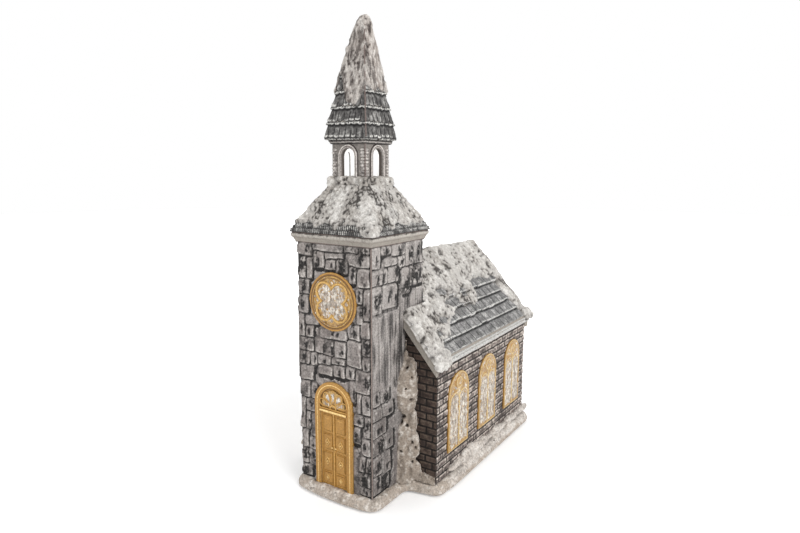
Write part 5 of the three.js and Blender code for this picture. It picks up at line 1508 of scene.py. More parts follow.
@dataclass
class Tower:
    """Square stone tower with cornice, shingled cap and the snow on it.

    Attributes:
        fine: Size of the faces of the stonework.
        door_clear: Half width of the bare wall behind the door.
        rose_clear: Radius of the bare wall behind the round window.
        shingle: Height of a row of shingles.
        reach: How far the cornice stands out of the walls.
        cap_profile: Rise and share of the cap's half width, as in the solid.
        drips: Place round the tower, counted in sides, half width and length of the snow's drips.
    """

    fine: float = 0.52
    door_clear: float = 14.6
    rose_clear: float = 18.0
    shingle: float = 3.1
    reach: float = 2.8
    cap_profile: tuple[tuple[float, float], ...] = (
        (0.0, 1.0), (0.12, 0.955), (0.26, 0.84), (0.45, 0.735), (0.63, 0.63), (0.76, 0.545), (0.88, 0.46),
        (1.0, 0.41),
    )
    drips: tuple[Point, ...] = (
        (0.08, 0.05, 1.5), (0.3, 0.045, 3.2), (0.55, 0.05, 3.4), (0.66, 0.03, 1.4), (0.93, 0.1, 6.4),
        (1.08, 0.09, 6.0), (1.33, 0.07, 2.2), (1.62, 0.1, 2.4), (1.9, 0.06, 3.4), (2.3, 0.1, 3.0),
        (2.8, 0.12, 4.0), (3.3, 0.1, 3.0), (3.7, 0.1, 4.0),
    )

    def __post_init__(self) -> None:
        """Takes the boxes of the nodes that the pieces lie on."""
        self.shell = Span.of("tower_shell")
        self.cornice = Span.of("tower_cornice")
        self.cap = Span.of("tower_cap")
        self.door = Span.of("door_surround")
        self.rose = Span.of("rose_frame")
        self.half = tower_plan()[0]
        self.middle = (self.cornice.centre.x, self.cornice.centre.y)

    def smeared(self, places: Places) -> Array:
        """Where the cast's sides lost their blocks and keep upright streaks."""
        up = places.height - self.shell.low.z
        ahead = np.where(places.side == 3, -places.across, places.across)
        band = smooth(69, 75, up) * smooth(128, 119, up)
        near = smooth(-4, 8, ahead) * smooth(134, 124, up)
        low = 0.25 * smooth(-10, 0, ahead) * smooth(80, 70, up)
        return np.where(places.side % 2 == 1, np.maximum(np.maximum(band, near), low), 0.0)

    def covered(self, places: Places) -> Array:
        """Wall that isn't behind the door or the round window."""
        front = places.side == 0
        spring = self.door.high.z - self.door.size.x / 2
        behind_door = arch_reach(places.across, places.height, spring) < self.door_clear
        from_rose = np.hypot(places.across, places.height - self.rose.centre.z)
        return ~(front & ((behind_door & (places.height < self.door.high.z)) | (from_rose < self.rose_clear)))

    def stonework(self) -> None:
        """Blocks on the four walls."""
        columns = round(2 * self.half / self.fine)
        rows = round(self.shell.size.z / 2 / self.fine)
        mirrored = tuple((-right, -left, low, high) for left, right, low, high in SIDE_BLOCKS)
        blocks = [FRONT_BLOCKS, SIDE_BLOCKS, FRONT_BLOCKS, mirrored]
        pattern = StonePattern(blocks, self.shell.low.z, faint=self.smeared)
        low, middle, high = self.shell.low.z - 0.2, self.shell.centre.z, self.shell.high.z + 0.2
        for name, start, end in (("lower", low, middle), ("upper", middle, high)):
            path = [(self.half, start), (self.half, end)]
            sheet = SquareSheet(4 * columns, rows, profile=path, middle=self.middle)
            shown(sheet.raised(pattern, self.covered), f"{name}_stonework", STONE)

    def seam(self) -> None:
        """Fine mould seam up the front right corner."""
        corner = self.half + 0.55
        heights = np.arange(self.shell.low.z + 0.5, self.shell.high.z, 3.0)
        stray = 0.12 * clouds(np.stack([heights, heights, heights], axis=1), 9.0, 37)
        rolls = Rolls(Wall.FRONT, corner - self.middle[1])
        rolls.roll([(corner + float(s), float(z)) for z, s in zip(heights, stray)], 0.42)
        shown(rolls.mesh(), "tower_seam", SEAM)

    def cap_half(self, height: Array) -> Array:
        """Half width of the cap at a height."""
        rises, shares = zip(*self.cap_profile)
        share = (height - self.cap.low.z) / self.cap.size.z
        return (self.cornice.size.x / 2) * np.interp(share, rises, shares)

    def cap_path(self, low: float, out: float) -> Path:
        """Profile of the cap from a height up, moved out."""
        heights = np.linspace(low, self.cap.high.z, 24)
        return [(float(self.cap_half(z)) + out, float(z)) for z in heights]

    def cornice_band(self) -> None:
        """Smooth moulded band with its soft edges, and dark rolls of painted shadow along its foot and its top."""
        low, high = self.cornice.low.z, self.cornice.high.z
        tall = high - low
        reach = self.cornice.size.x / 2
        inner = self.half - 1
        path = [(inner, low - 0.1), (self.half + 0.6, low - 0.1), (self.half + 1.0, low + 0.2 * tall),
                (reach - 0.8, low + 0.42 * tall), (reach + 0.15, low + 0.6 * tall), (reach + 0.35, low + 0.78 * tall),
                (reach + 0.1, high - 0.3), (reach - 1.0, high + 0.2)]

        def uneven_and_shaded(places: Places) -> Relief:
            """Slight unevenness of the hand-made band, with painted shade on its lower part and top edge and a
            painted highlight on its upper part.
            """
            wave = clouds(places.points, 9.0, 31)
            fine = clouds(places.points, 2.0, 32)
            low_edge = smooth(0.34, 0.06, (places.height - low) / tall + 0.08 * fine)
            top_edge = smooth(0.84, 0.97, (places.height - low) / tall + 0.05 * fine)
            height = 0.12 + 0.16 * wave + 0.06 * fine
            wash = np.maximum(0.9 * low_edge, top_edge) + 0.25 * smooth(0.2, 0.9, fine)
            wear = smooth(0.45, 0.75, (places.height - low) / tall) * (1 - top_edge)
            return Relief(height, wash, 0.9 * wear, 0.4 + 0.5 * wave)

        # painted shadow: dark rolls at the foot of the cornice and between it and the cap
        lines = [([(x * out, up + 0.15 * math.sin(5 * x + out)) for x in np.linspace(-1, 1, 12)], 0.42, out)
                 for up, out in ((low - 0.1, self.half + 0.75), (high + 0.1, reach - 0.3))]
        shown(round_rolls(self.middle[1], 0.0, lines), "cornice_shadow_lines", DARK_SEAM_AND_SHADE)
        sheet = SquareSheet(4 * 90, 18, profile=path, middle=self.middle)
        shown(sheet.raised(uneven_and_shaded), "cornice_band", SMOOTH)

    def cap_shingles(self) -> None:
        """Rows of small slanted shingles round the eave, and the rough slope over them."""
        low = self.cap.low.z
        path = [(float(self.cap_half(low)) - 2.0, low - 0.05), *self.cap_path(low, 0.75)]

        def shingled(places: Places) -> Relief:
            """Slanted strokes near the eave."""
            points = places.points
            up = places.height - low
            row = np.floor(up / self.shingle)
            slant = places.across + 0.55 * (up - row * self.shingle) + 0.6 * row
            run = slant / 1.55 + 0.12 * clouds(points, 4.0, 33)
            part = run - np.floor(run)
            away = np.minimum(part, 1 - part)
            lap = (up / self.shingle) - row
            tile = smooth(0.06, 0.24, away) * smooth(0.0, 0.14, lap) * smooth(1.0, 0.86, lap)
            rough = clouds(points, 2.2, 34)
            height = -0.3 + 0.95 * tile + 0.3 * rough
            wash = 1.0 - 0.85 * tile
            wear = tile * smooth(0.15, 0.4, away) * smooth(-0.6, 0.2, rough)
            return Relief(height, wash, wear, 0.9 + 0 * up)

        sheet = SquareSheet(4 * 130, 66, profile=path, middle=self.middle)
        shown(sheet.raised(shingled), "cap_shingles", DARK_SLATE)

    def snow_edge(self, places: Places) -> Array:
        """Height of the lower edge of the cap's snow."""
        turn = places.side + (places.across / np.maximum(self.cap_half(places.height), 1) + 1) / 2
        low = self.cap.low.z + 6.4 + 0.7 * np.sin(turn * 17) + 1.4 * clouds(places.points, 3.6, 38)
        for at, wide, long in self.drips:
            away = np.minimum(np.abs(turn - at), 4 - np.abs(turn - at)) / wide
            low = low - long * np.exp(-away ** 2)
        return low

    def cap_snow(self) -> None:
        """Snow over the cap, running down in drips."""
        pattern = SnowPattern(self.snow_edge, thickness=1.9, streak=1.9, pits=0.5, lumps=0.8, runs=0.4)
        sheet = SquareSheet(4 * 118, 82, profile=self.cap_path(self.cap.low.z, 0.6), middle=self.middle, corner=5.0)
        mesh = sheet.raised(pattern, lambda places: pattern.margin(places) > -0.7)
        piece = shown(mesh, "cap_snow_cover", SNOW)
        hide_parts("cap_snow")

    def build(self) -> None:
        """Builds the tower's pieces."""
        self.stonework()
        self.seam()
        self.cornice_band()
        self.cap_shingles()
        self.cap_snow()


@dataclass
class Steeple:
    """Belfry and slated spire with the snow on its point.

    Attributes:
        profile: Rise and share of the spire's half width, as in the solid.
        lean: How far the tip stands to the right.
        courses: Slate courses up the spire.
        tip_half: Half width of the slates at their top.
        arch_half: Half width of the belfry's openings.
    """

    profile: tuple[tuple[float, float], ...] = (
        (0.0, 1.0), (0.15, 0.92), (0.3, 0.767), (0.43, 0.633), (0.64, 0.441), (0.82, 0.268), (1.0, 0.0),
    )
    lean: float = 2.6
    courses: int = 7
    tip_half: float = 2.1
    arch_half: float = 5.3

    def __post_init__(self) -> None:
        """Takes the boxes of the nodes that the pieces lie on."""
        self.ledge = Span.of("belfry_ledge")
        self.arcade = Span.of("belfry_arcade")
        self.moulding = Span.of("spire_moulding")
        self.spire = Span.of("spire_slates")
        self.snow = Span.of("spire_snow")
        self.middle = (0.0, tower_plan()[1])

    def half(self, height: Array) -> Array:
        """Half width of the spire at a height."""
        rises, shares = zip(*self.profile)
        share = np.interp((height - self.spire.low.z) / self.spire.size.z, rises, shares)
        return self.tip_half + (self.spire.size.x / 2 - self.tip_half) * share

    def leaning(self, height: Array) -> Array:
        """Sideways shift of the spire at a height."""
        share = np.maximum((height - self.spire.low.z) / (self.snow.high.z - self.spire.low.z), 0)
        return self.lean * share ** 1.3 + 1.6 * smooth(self.spire.high.z - 6, self.snow.high.z, height)

    def snow_depth(self, height: Array) -> Array:
        """How far the thick snow stands out of the spire at a height."""
        return 2.1 * smooth(self.spire.high.z - 20, self.spire.high.z + 6, height)

    def rounded(self, height: Array) -> Array:
        """How round the spire's snow is at a height, 0 for square."""
        return 0.85 * smooth(self.spire.high.z - 14, self.spire.high.z + 3, height)

    def ledge_rocks(self) -> None:
        """Lumpy snow-covered ledge under the belfry."""
        low, high = self.ledge.low.z, self.ledge.high.z
        reach = self.ledge.size.x / 2 - 0.3
        path = [(reach - 3, low - 0.1), (reach - 0.4, low), (reach, low + 1.4), (reach, high - 1.6),
                (reach - 1.1, high - 0.1), (reach - 3.5, high + 0.1), (10.5, high + 0.1)]

        def lumpy(places: Places) -> Relief:
            """Lumps with dark pits."""
            points = places.points
            big = clouds(points, 4.2, 71)
            crumbs, gaps = crumbled(points, 3.4, 1.0, 72)
            pit = smooth(0.36, 0.2, spots(points, 4.0, 73, 0.5)) * smooth(high + 0.2, high - 0.8, places.height)
            height = 0.3 + 0.5 * big + 0.9 * crumbs - 1.1 * pit
            wash = np.maximum(np.maximum(pit, gaps), 0.5 * smooth(0.0, 0.8, -big))
            return Relief(height, wash, smooth(0.0, 0.7, crumbs), 0.9 + 0.3 * big)

        sheet = SquareSheet(4 * 52, 34, profile=path, middle=self.middle, corner=2.5)
        piece = shown(sheet.raised(lumpy), "ledge_rocks", SNOW)
        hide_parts("belfry_ledge")

    def arches(self) -> None:
        """Raised archivolts round the four openings, with dark rolls of painted shade beside them."""
        low, high = self.arcade.low.z, self.arcade.high.z
        spring = high - 2.6 - self.arch_half
        face = self.arcade.size.x / 2 - 0.7

        def arches(sizes: tuple[Point, ...]) -> Mesh:
            """Rolls round all four openings, from their distances, radii and rises."""
            rolls = [(arched(self.arch_half + away, low, spring), radius, rise) for away, radius, rise in sizes]
            return round_rolls(self.middle[1], face, rolls)

        # painted shade: dark rolls in the gap between the two arch rolls and just outside them
        lines = arches(((1.05, 0.45, 0.5), (2.5, 0.3, 0.0)))
        shown(lines, "belfry_arch_shadow_lines", DARK_SEAM_AND_SHADE)
        shown(arches(((0.6, 0.35, 0.7), (1.8, 0.55, 0.7))), "belfry_arches", STONE)

    def pier_stones(self) -> None:
        """Column of small rounded stones up each side of every pier."""
        low, high = self.arcade.low.z, self.arcade.high.z
        face = self.arcade.size.x / 2 - 0.7
        draw = np.random.default_rng(9)
        form = bmesh.new()
        rise = 2.0
        for wall in Wall:
            u, v, n = wall.value
            for edge in (-1, 1):
                for i in range(int((high - low - 1.5) / rise)):
                    up = low + 1.2 + rise * i
                    along = edge * (face - 1.8 + 0.3 * float(draw.uniform(-1, 1)))
                    place = Vector((0, self.middle[1], 0)) + u * along + v * up + n * (face + 0.1)
                    scale = Vector((1.9, 0.85, 0.95)) * float(draw.uniform(0.85, 1.1))
                    axes = Matrix((u * scale.x, v * scale.z, n * scale.y)).transposed().to_4x4()
                    matrix = Matrix.Translation(place * MM) @ axes @ Matrix.Scale(MM, 4)
                    bmesh.ops.create_icosphere(form, subdivisions=2, radius=1.0, matrix=matrix)
        bmesh.ops.recalc_face_normals(form, faces=form.faces)
        for side in form.faces:
            side.smooth = True
        mesh = finished(form, "stones")
        points = coordinates(mesh)
        rough = clouds(points, 1.2, 91)
        Relief(rough, smooth(0.1, 0.8, -rough) * 0.6, smooth(-0.4, 0.5, rough), 0.2 + 0 * rough).paint(mesh)
        shown(mesh, "belfry_pier_stones", STONE)

    def arcade_walls(self) -> None:
        """Head of the belfry over its arches: a dark band with one light ridge."""
        low, high = self.moulding.low.z, self.moulding.high.z
        reach = self.moulding.size.x / 2
        path = [(reach - 3, low - 0.15), (reach - 0.8, low - 0.1), (reach - 0.2, low + 0.7),
                (reach - 0.5, low + 1.1), (reach + 0.2, low + 1.7), (reach + 0.2, high), (reach - 1, high + 0.1)]

        def ridged(places: Places) -> Relief:
            """Dark band with one light ridge."""
            rough = clouds(places.points, 1.8, 93)
            ridge = np.exp(-((places.height - low - 1.0 + 0.15 * rough) / 0.35) ** 2)
            height = 0.1 + 0.35 * ridge + 0.2 * rough
            return Relief(height, 0.9 - 0.9 * ridge, 0.8 * ridge, 0.5 + 0 * ridge)

        sheet = SquareSheet(4 * 60, 16, profile=path, middle=self.middle)
        shown(sheet.raised(ridged), "spire_moulding_ridge", STONE)

    def slates(self) -> None:
        """Slates on the spire's four faces, flared and rounded at the foot."""
        low, high = self.spire.low.z, self.spire.high.z
        heights = np.linspace(low + 0.6, high, 50)
        foot = float(self.half(low))
        path = [(foot - 3.4, low - 0.15), (foot - 1.0, low - 0.1), (foot + 0.35, low + 0.25)]
        path += [(float(self.half(z)) + 0.2 + 0.5 * math.exp(-(z - low) / 1.2), float(z)) for z in heights]
        course = (high - low) / self.courses * 1.02
        pattern = SlatePattern(0.5, course, 4.6, 0.75, (high - low) * 1.02 + 3.4, downwards=False, grain=0.32,
                               joint=0.45, sag=0.06, lift=0.4, twin=True, seed=47)
        sheet = SquareSheet(4 * 64, 170, profile=path, middle=self.middle, lean=self.leaning, corner=0.8)

        def keep(places: Places) -> Array:
            """Slates below the thick snow."""
            return places.height < high - 6

        shown(sheet.raised(pattern, keep), "spire_slate_courses", DARK_SLATE)

    def snow_edge(self, places: Places) -> Array:
        """Height of the lower edge of the spire's snow on each face."""
        share = places.across / np.maximum(self.half(places.height), 1)
        low = self.snow.low.z + 5.6
        lines = [
            low - 8.0 * np.exp(-((share - 0.2) / 0.52) ** 4) + 11 * smooth(-0.3, -0.95, share),
            low + 1.6 + 1.4 * np.sin(share * 6) + 2.0 * smooth(0.2, 0.9, share),
            low + 3 * np.sin(share * 4 + 1),
            low + 3.5 * np.sin(share * 3.4 + 2),
        ]
        edge = np.choose(places.side, lines)
        return edge + 1.3 * clouds(places.points, (2.4, 2.4, 30.0), 95)

    def point_snow(self) -> None:
        """Snow from the upper spire to its rounded point."""
        low, top = self.snow.low.z - 3, self.snow.high.z
        spire_top = self.spire.high.z
        heights = np.linspace(low, spire_top, 40)
        tip = [(4.2, spire_top + 1.2), (3.5, spire_top + 3.4), (2.5, spire_top + 5.2), (1.3, top - 1.4),
               (0.05, top - 0.9)]
        path = [(float(self.half(z)) + 0.4 + float(self.snow_depth(z)), float(z)) for z in heights] + tip
        pattern = SnowPattern(self.snow_edge, thickness=0.9, streak=3.4, pits=0.3, lumps=0.5, runs=0.75, seed=67)
        sheet = SquareSheet(4 * 50, 120, profile=path, middle=self.middle, lean=self.leaning, corner=2.2,
                            roundness=self.rounded)
        mesh = sheet.raised(pattern, lambda places: pattern.margin(places) > -0.7)
        piece = shown(mesh, "spire_point_snow", SPIRE_SNOW)
        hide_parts("spire_snow")

    def seam(self) -> None:
        """Mould seam up the front right edge of the spire and the belfry."""
        rolls = Rolls(Wall.FRONT, 0.0)
        spire_top = self.spire.high.z
        heights = np.arange(self.spire.low.z + 1.0, spire_top + 1.5, 2.5)
        curve = []
        for z in heights:
            snowy = float(smooth(self.snow.low.z + 4, self.snow.low.z + 12, z))
            stray = 0.25 * math.sin(z * 0.7) + 0.15 * math.sin(z * 1.9)
            out = float(self.half(z)) + 0.45 + float(self.snow_depth(z))
            out = out * (1 - 0.19 / 0.85 * float(self.rounded(z))) + 0.7 * snowy + stray
            curve.append((out + float(self.leaning(z)), float(z), out - self.middle[1]))
        rolls.trace(curve, 0.42)
        face = self.arcade.size.x / 2
        rolls.trace([(face, self.arcade.low.z, face - self.middle[1]),
                     (face, self.arcade.high.z, face - self.middle[1])], 0.4)
        shown(rolls.mesh(), "spire_seam", DARK_SEAM_AND_SHADE)

    def build(self) -> None:
        """Builds the steeple's pieces."""
        self.ledge_rocks()
        self.arches()
        self.pier_stones()
        self.arcade_walls()
        self.slates()
        self.point_snow()
        self.seam()


@dataclass
class Nave:
    """Brick nave with its slates, boards and snow.

    Attributes:
        fine: Size of the faces of the brickwork.
        window_inset: How far the brickwork reaches behind a window frame.
        drift_holes: Holes in a drift: distances from the tower and the gable, height, and half sizes.
        windows: Windows on a side.
        strip: Width of the pale strip along the eaves.
        course: Length of a slate course down the slope.
    """

    fine: float = 0.58
    window_inset: float = 1.2
    drift_holes: tuple[tuple[float, ...], ...] = (
        (8.0, 4.0, 68.0, 1.2, 1.2), (1.8, 5.6, 54.5, 2.3, 1.3), (0.6, 6.2, 51.5, 1.5, 1.7),
        (3.9, 3.4, 48.7, 1.4, 1.1), (8.6, 3.6, 37.7, 1.1, 1.4), (2.2, 8.0, 31.2, 1.3, 1.2),
        (8.6, 3.6, 23.3, 1.0, 1.1), (3.6, 3.0, 90.0, 0.9, 1.0), (6.4, 1.2, 84.0, 0.9, 1.2),
        (10.0, 1.5, 34.0, 0.9, 1.5), (5.0, 6.5, 76.0, 0.8, 0.9),
    )
    windows: int = 3
    strip: float = 1.4
    course: float = 9.83

    def __post_init__(self) -> None:
        """Takes the boxes of the nodes that the pieces lie on."""
        self.shell = Span.of("nave_shell")
        self.roof = Span.of("nave_roof")
        self.tower_half, middle = tower_plan()
        self.tower_back = middle + self.tower_half
        self.frames = [Span.of(f"window_frame_right_{i + 1}") for i in range(self.windows)]
        self.line = RoofLine(self.roof.high.z + 0.65, eave=self.roof.size.x / 2)

    def beside_windows(self, places: Places) -> Array:
        """Wall that isn't in a window opening."""
        clear = np.ones(len(places.across), bool)
        for frame in self.frames:
            half = frame.size.y / 2 - self.window_inset
            spring = frame.high.z - frame.size.y / 2
            inside = arch_reach(places.points[:, 1] - frame.centre.y, places.height, spring) < half
            inside &= places.height > frame.low.z + self.window_inset
            clear &= ~(inside & (places.height < frame.high.z))
        return clear

    def side_bricks(self, wall: Wall) -> None:
        """Brickwork of a long side."""
        front, back = self.shell.low.y, self.shell.high.y
        ends = (front, back) if wall is Wall.RIGHT else (-back, -front)
        top = float(self.line.skin(self.shell.high.x)) - 3.6
        bottom = self.shell.low.z
        sheet = WallSheet(round((back - front) / self.fine), round((top - bottom) / self.fine), wall=wall,
                          start=ends[0], end=ends[1], bottom=bottom, top=top, out=self.shell.high.x)
        mesh = sheet.raised(BrickPattern(bottom), self.beside_windows)
        shown(mesh, f"{wall.name.lower()}_bricks", BRICK)

    def gable_bricks(self, wall: Wall) -> None:
        """Brickwork of a gable, under the roof and beside the tower."""
        bottom, top = self.shell.low.z, self.shell.high.z
        half = self.shell.high.x
        out = self.shell.high.y if wall is Wall.BACK else -self.shell.low.y

        def under_roof(places: Places) -> Array:
            """Wall below the roof's underside and clear of the tower."""
            across = np.abs(places.across)
            below = places.height < self.line.skin(across) - 3.5
            beside = across > self.tower_half - 0.6 if wall is Wall.FRONT else across > -1
            return below & beside

        sheet = WallSheet(round(2 * half / self.fine), round((top - bottom) / self.fine), wall=wall,
                          start=-half, end=half, bottom=bottom, top=top, out=out)
        mesh = sheet.raised(BrickPattern(bottom, seed=25), under_roof)
        shown(mesh, f"{wall.name.lower()}_gable_bricks", SHADED_BRICK)

    def slates(self) -> None:
        """Slates on both slopes, cut back round the tower."""
        span = self.roof.high.y - self.roof.low.y
        columns, rows = round(span / 0.62), 270
        sheet = RoofSheet(columns, rows, line=self.line, start=self.roof.low.y - 0.15, end=self.roof.high.y + 0.15)
        slope = float(self.line.down(self.line.eave))
        first = float(self.line.down(self.line.eave - self.strip)) + 0.4
        start = first % self.course - self.course + 0.5
        pattern = SlatePattern(start, self.course, 8.5, 1.6, slope, grain=0.1, joint=0.4, lift=0.9)

        def clad(places: Places) -> Relief:
            """Slates, with the pale strip and the plain face of the eaves."""
            made = pattern(places)
            strip = smooth(first - 0.1, first + 0.25, places.along)
            face = places.along > slope - 0.1
            plain = 0.25 + 0.12 * clouds(places.points, 3.0, 51)
            line = np.exp(-((places.along - slope - 1.7) / 0.5) ** 2)
            # gap marks a dark line of painted shadow on the strip just under the lowest slates
            gap = np.exp(-((places.along - first - 0.3) / 0.35) ** 2)
            low = np.where(face, plain - 0.3 * line, plain - 1.3)
            made.height = made.height * (1 - strip) + low * strip + 0.22 * (1 - strip)
            made.wash = made.wash * (1 - strip) + np.maximum(0.5 * line * face, gap) * strip
            made.wear = made.wear * (1 - strip) + 0.75 * strip
            return made

        mesh = sheet.raised(clad, self.off_tower)
        shown(mesh, "roof_slate_courses", SLATE)

    def off_tower(self, places: Places) -> Array:
        """Roof that isn't inside the tower."""
        inside = np.abs(places.points[:, 0]) < self.tower_half + 0.1
        return ~(inside & (places.across < self.tower_back + 0.1))

    def roof_snow(self) -> None:
        """Snow along ridge and verges, reaching down each slope in ragged tongues."""
        start, end = self.roof.low.y - 0.5, self.roof.high.y + 0.5
        pattern = RoofSnow(self.line, start, end - start)
        sheet = RoofSheet(round((end - start) / 0.7), 262, line=self.line, start=start, end=end)

        def lying(places: Places) -> Array:
            """Snowy roof outside the tower."""
            return self.off_tower(places) & (pattern.margin(places) > -0.8)

        piece = shown(sheet.raised(pattern, lying), "roof_snow_cover", SNOW)
        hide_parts("roof_snow")

    def eave_heaps(self) -> None:
        """Heaps of snow over the four corners of the eaves."""
        x, z = self.line.eave, float(self.line.skin(self.line.eave))
        front, back = self.roof.low.y, self.roof.high.y
        for turn, side in ((1, "right"), (-1, "left")):
            heaps = {
                "front": [Lump((turn * (x - 1.5), front + 8.5, z + 3.5), (6.0, 9.0, 5.2)),
                          Lump((turn * (x + 0.8), front + 10.0, z - 0.6), (3.4, 7.0, 5.2)),
                          Lump((turn * (x + 0.6), front + 3.6, z - 1.6), (2.6, 4.0, 4.0))],
                "back": [Lump((turn * (x - 1.5), back - 3.6, z + 3.6), (5.2, 6.6, 4.4)),
                         Lump((turn * (x + 1.0), back + 0.6, z + 0.6), (3.6, 4.4, 4.0))],
            }
            for end, lumps in heaps.items():
                form = SnowForm("", 0.6, lumps, rough=1.4, pits=0.1,
                                granular=lambda points, normals: points[:, 2] > 0)
                shown(form.grown(), f"eave_heap_{end}_{side}", SNOW)

    def drifts(self) -> None:
        """Drifts in the corners beside the tower."""
        for side in ("right", "left"):
            turn, top = (1 if side == "right" else -1), Span.of(f"drift_{side}").high.z
            x, y = turn * self.tower_half, self.shell.low.y
            holes = [Lump((x + turn * out, y - ahead, z), (size, size, tall))
                     for out, ahead, z, size, tall in self.drift_holes]
            lumps = [Lump((x + turn * out, y - ahead, z), half) for out, ahead, z, half in (
                (2.4, 2.2, top + 0.5, (2.2, 2.2, 4.5)), (1.6, 1.2, top + 6.5, (0.8, 0.8, 5.5)),
                (6.4, 1.8, 88.0, (4.8, 2.6, 10.0)), (7.6, 1.6, 51.0, (3.6, 2.6, 9.0)),
                (8.2, 2.4, 33.0, (4.6, 3.4, 12.0)), (9.4, 3.0, 17.0, (6.0, 4.0, 8.0)))]
            form = SnowForm(f"drift_{side}", 0.6, lumps, rough=1.7, pit=1.9, pits=0.0, holes=holes,
                            crest=(turn * 0.55, -0.83, 0.0), seed=85)
            piece = shown(form.grown(), f"drift_{side}_snow", DRIFT)
            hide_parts(f"drift_{side}")

    def plinth(self) -> None:
        """Snow-covered plinth, flat underneath."""
        box = Span.of("base_plinth")

        def still(points: Array, normals: Array) -> Array:
            """The underside and all that lies inside the walls."""
            under = smooth(1.0, -0.2, points[:, 2] - box.low.z - 0.8)
            down = smooth(-0.5, -0.8, normals[:, 2])
            inside = (np.abs(points[:, 0]) < self.shell.high.x - 4) & (points[:, 1] > self.tower_back)
            front = self.tower_back - 2 * self.tower_half
            inside |= (np.abs(points[:, 0]) < self.tower_half - 4) & (points[:, 1] > front + 4)
            return np.maximum(np.maximum(under, down), inside)

        def granular(points: Array, normals: Array) -> Array:
            """Loose snow on the upper half, along the nave."""
            ahead = points[:, 1] + 4.0 * clouds(points, 9.0, 88)
            along = smooth(self.shell.low.y + 6, self.shell.low.y + 22, ahead)
            up = smooth(box.low.z + 3.2, box.low.z + 5.2, points[:, 2] + 1.2 * clouds(points, 3.5, 89))
            return along * up

        form = SnowForm("base_plinth", 0.95, self.banks(), rough=0.9, pit=0.5, pits=0.12, still=still,
                        granular=granular, seed=87)
        piece = shown(form.grown(), "plinth_snow", PLINTH_SNOW)
        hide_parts("base_plinth")

    def banks(self) -> list[Lump]:
        """Snow piled against the long walls."""
        box = Span.of("base_plinth")
        x, z = self.shell.high.x, box.high.z
        ridge = [(y, 8.0, 2.6 + 1.0 * math.sin(0.21 * y) + 0.6 * math.sin(0.53 * y)) for y in range(-34, 95, 8)]
        places = [*ridge, (-14, 7.5, 6.0), (-8, 6.0, 8.0), (-1, 7.0, 5.0)]
        right = [Lump((x + 1.5, y, z - 0.6), (3.0, wide, tall)) for y, wide, tall in places]
        left = [Lump((-x - 1.5, 34 - y, z - 0.6), (3.0, wide, tall)) for y, wide, tall in places]
        return right + left

    def build(self) -> None:
        """Builds the nave's pieces."""
        self.side_bricks(Wall.RIGHT)
        self.side_bricks(Wall.LEFT)
        self.gable_bricks(Wall.FRONT)
        self.gable_bricks(Wall.BACK)
        self.slates()
        self.roof_snow()
        self.eave_heaps()
        self.drifts()
        self.plinth()


def glitter_sheet(wall: Wall, box: Span, out: float, inside: Mask, gilding: Mask,
                  shift: float = 0.0) -> Mesh:
    """Faceted glitter over a pane.

    Args:
        wall: Wall that the pane is in.
        box: Box of the pane.
        out: Distance of the pane's face from the frame's origin.
        inside: Mask of the places in the pane.
        gilding: Share of gold among the grains at each place.
        shift: Distance along the wall to the pane's middle.

    Returns:
        The new mesh.
    """
    half = (box.size.y if wall in (Wall.RIGHT, Wall.LEFT) else box.size.x) / 2
    grain = 0.6
    sheet = WallSheet(round(2 * half / grain), round(box.size.z / grain), flat=True, wall=wall, start=shift - half,
                      end=shift + half, bottom=box.low.z, top=box.high.z, out=out)

    def grains(places: Places) -> Relief:
        """Grains that lie at random."""
        cells = np.round(places.points / (grain * 0.8)).astype(np.int64)
        lie = hashed(cells, 3)
        heap = 0.4 * clouds(places.points, 2.8, 98)
        return Relief(heap + 0.25 * lie, 1 - lie, lie, gilding(places))

    return sheet.raised(grains, inside)


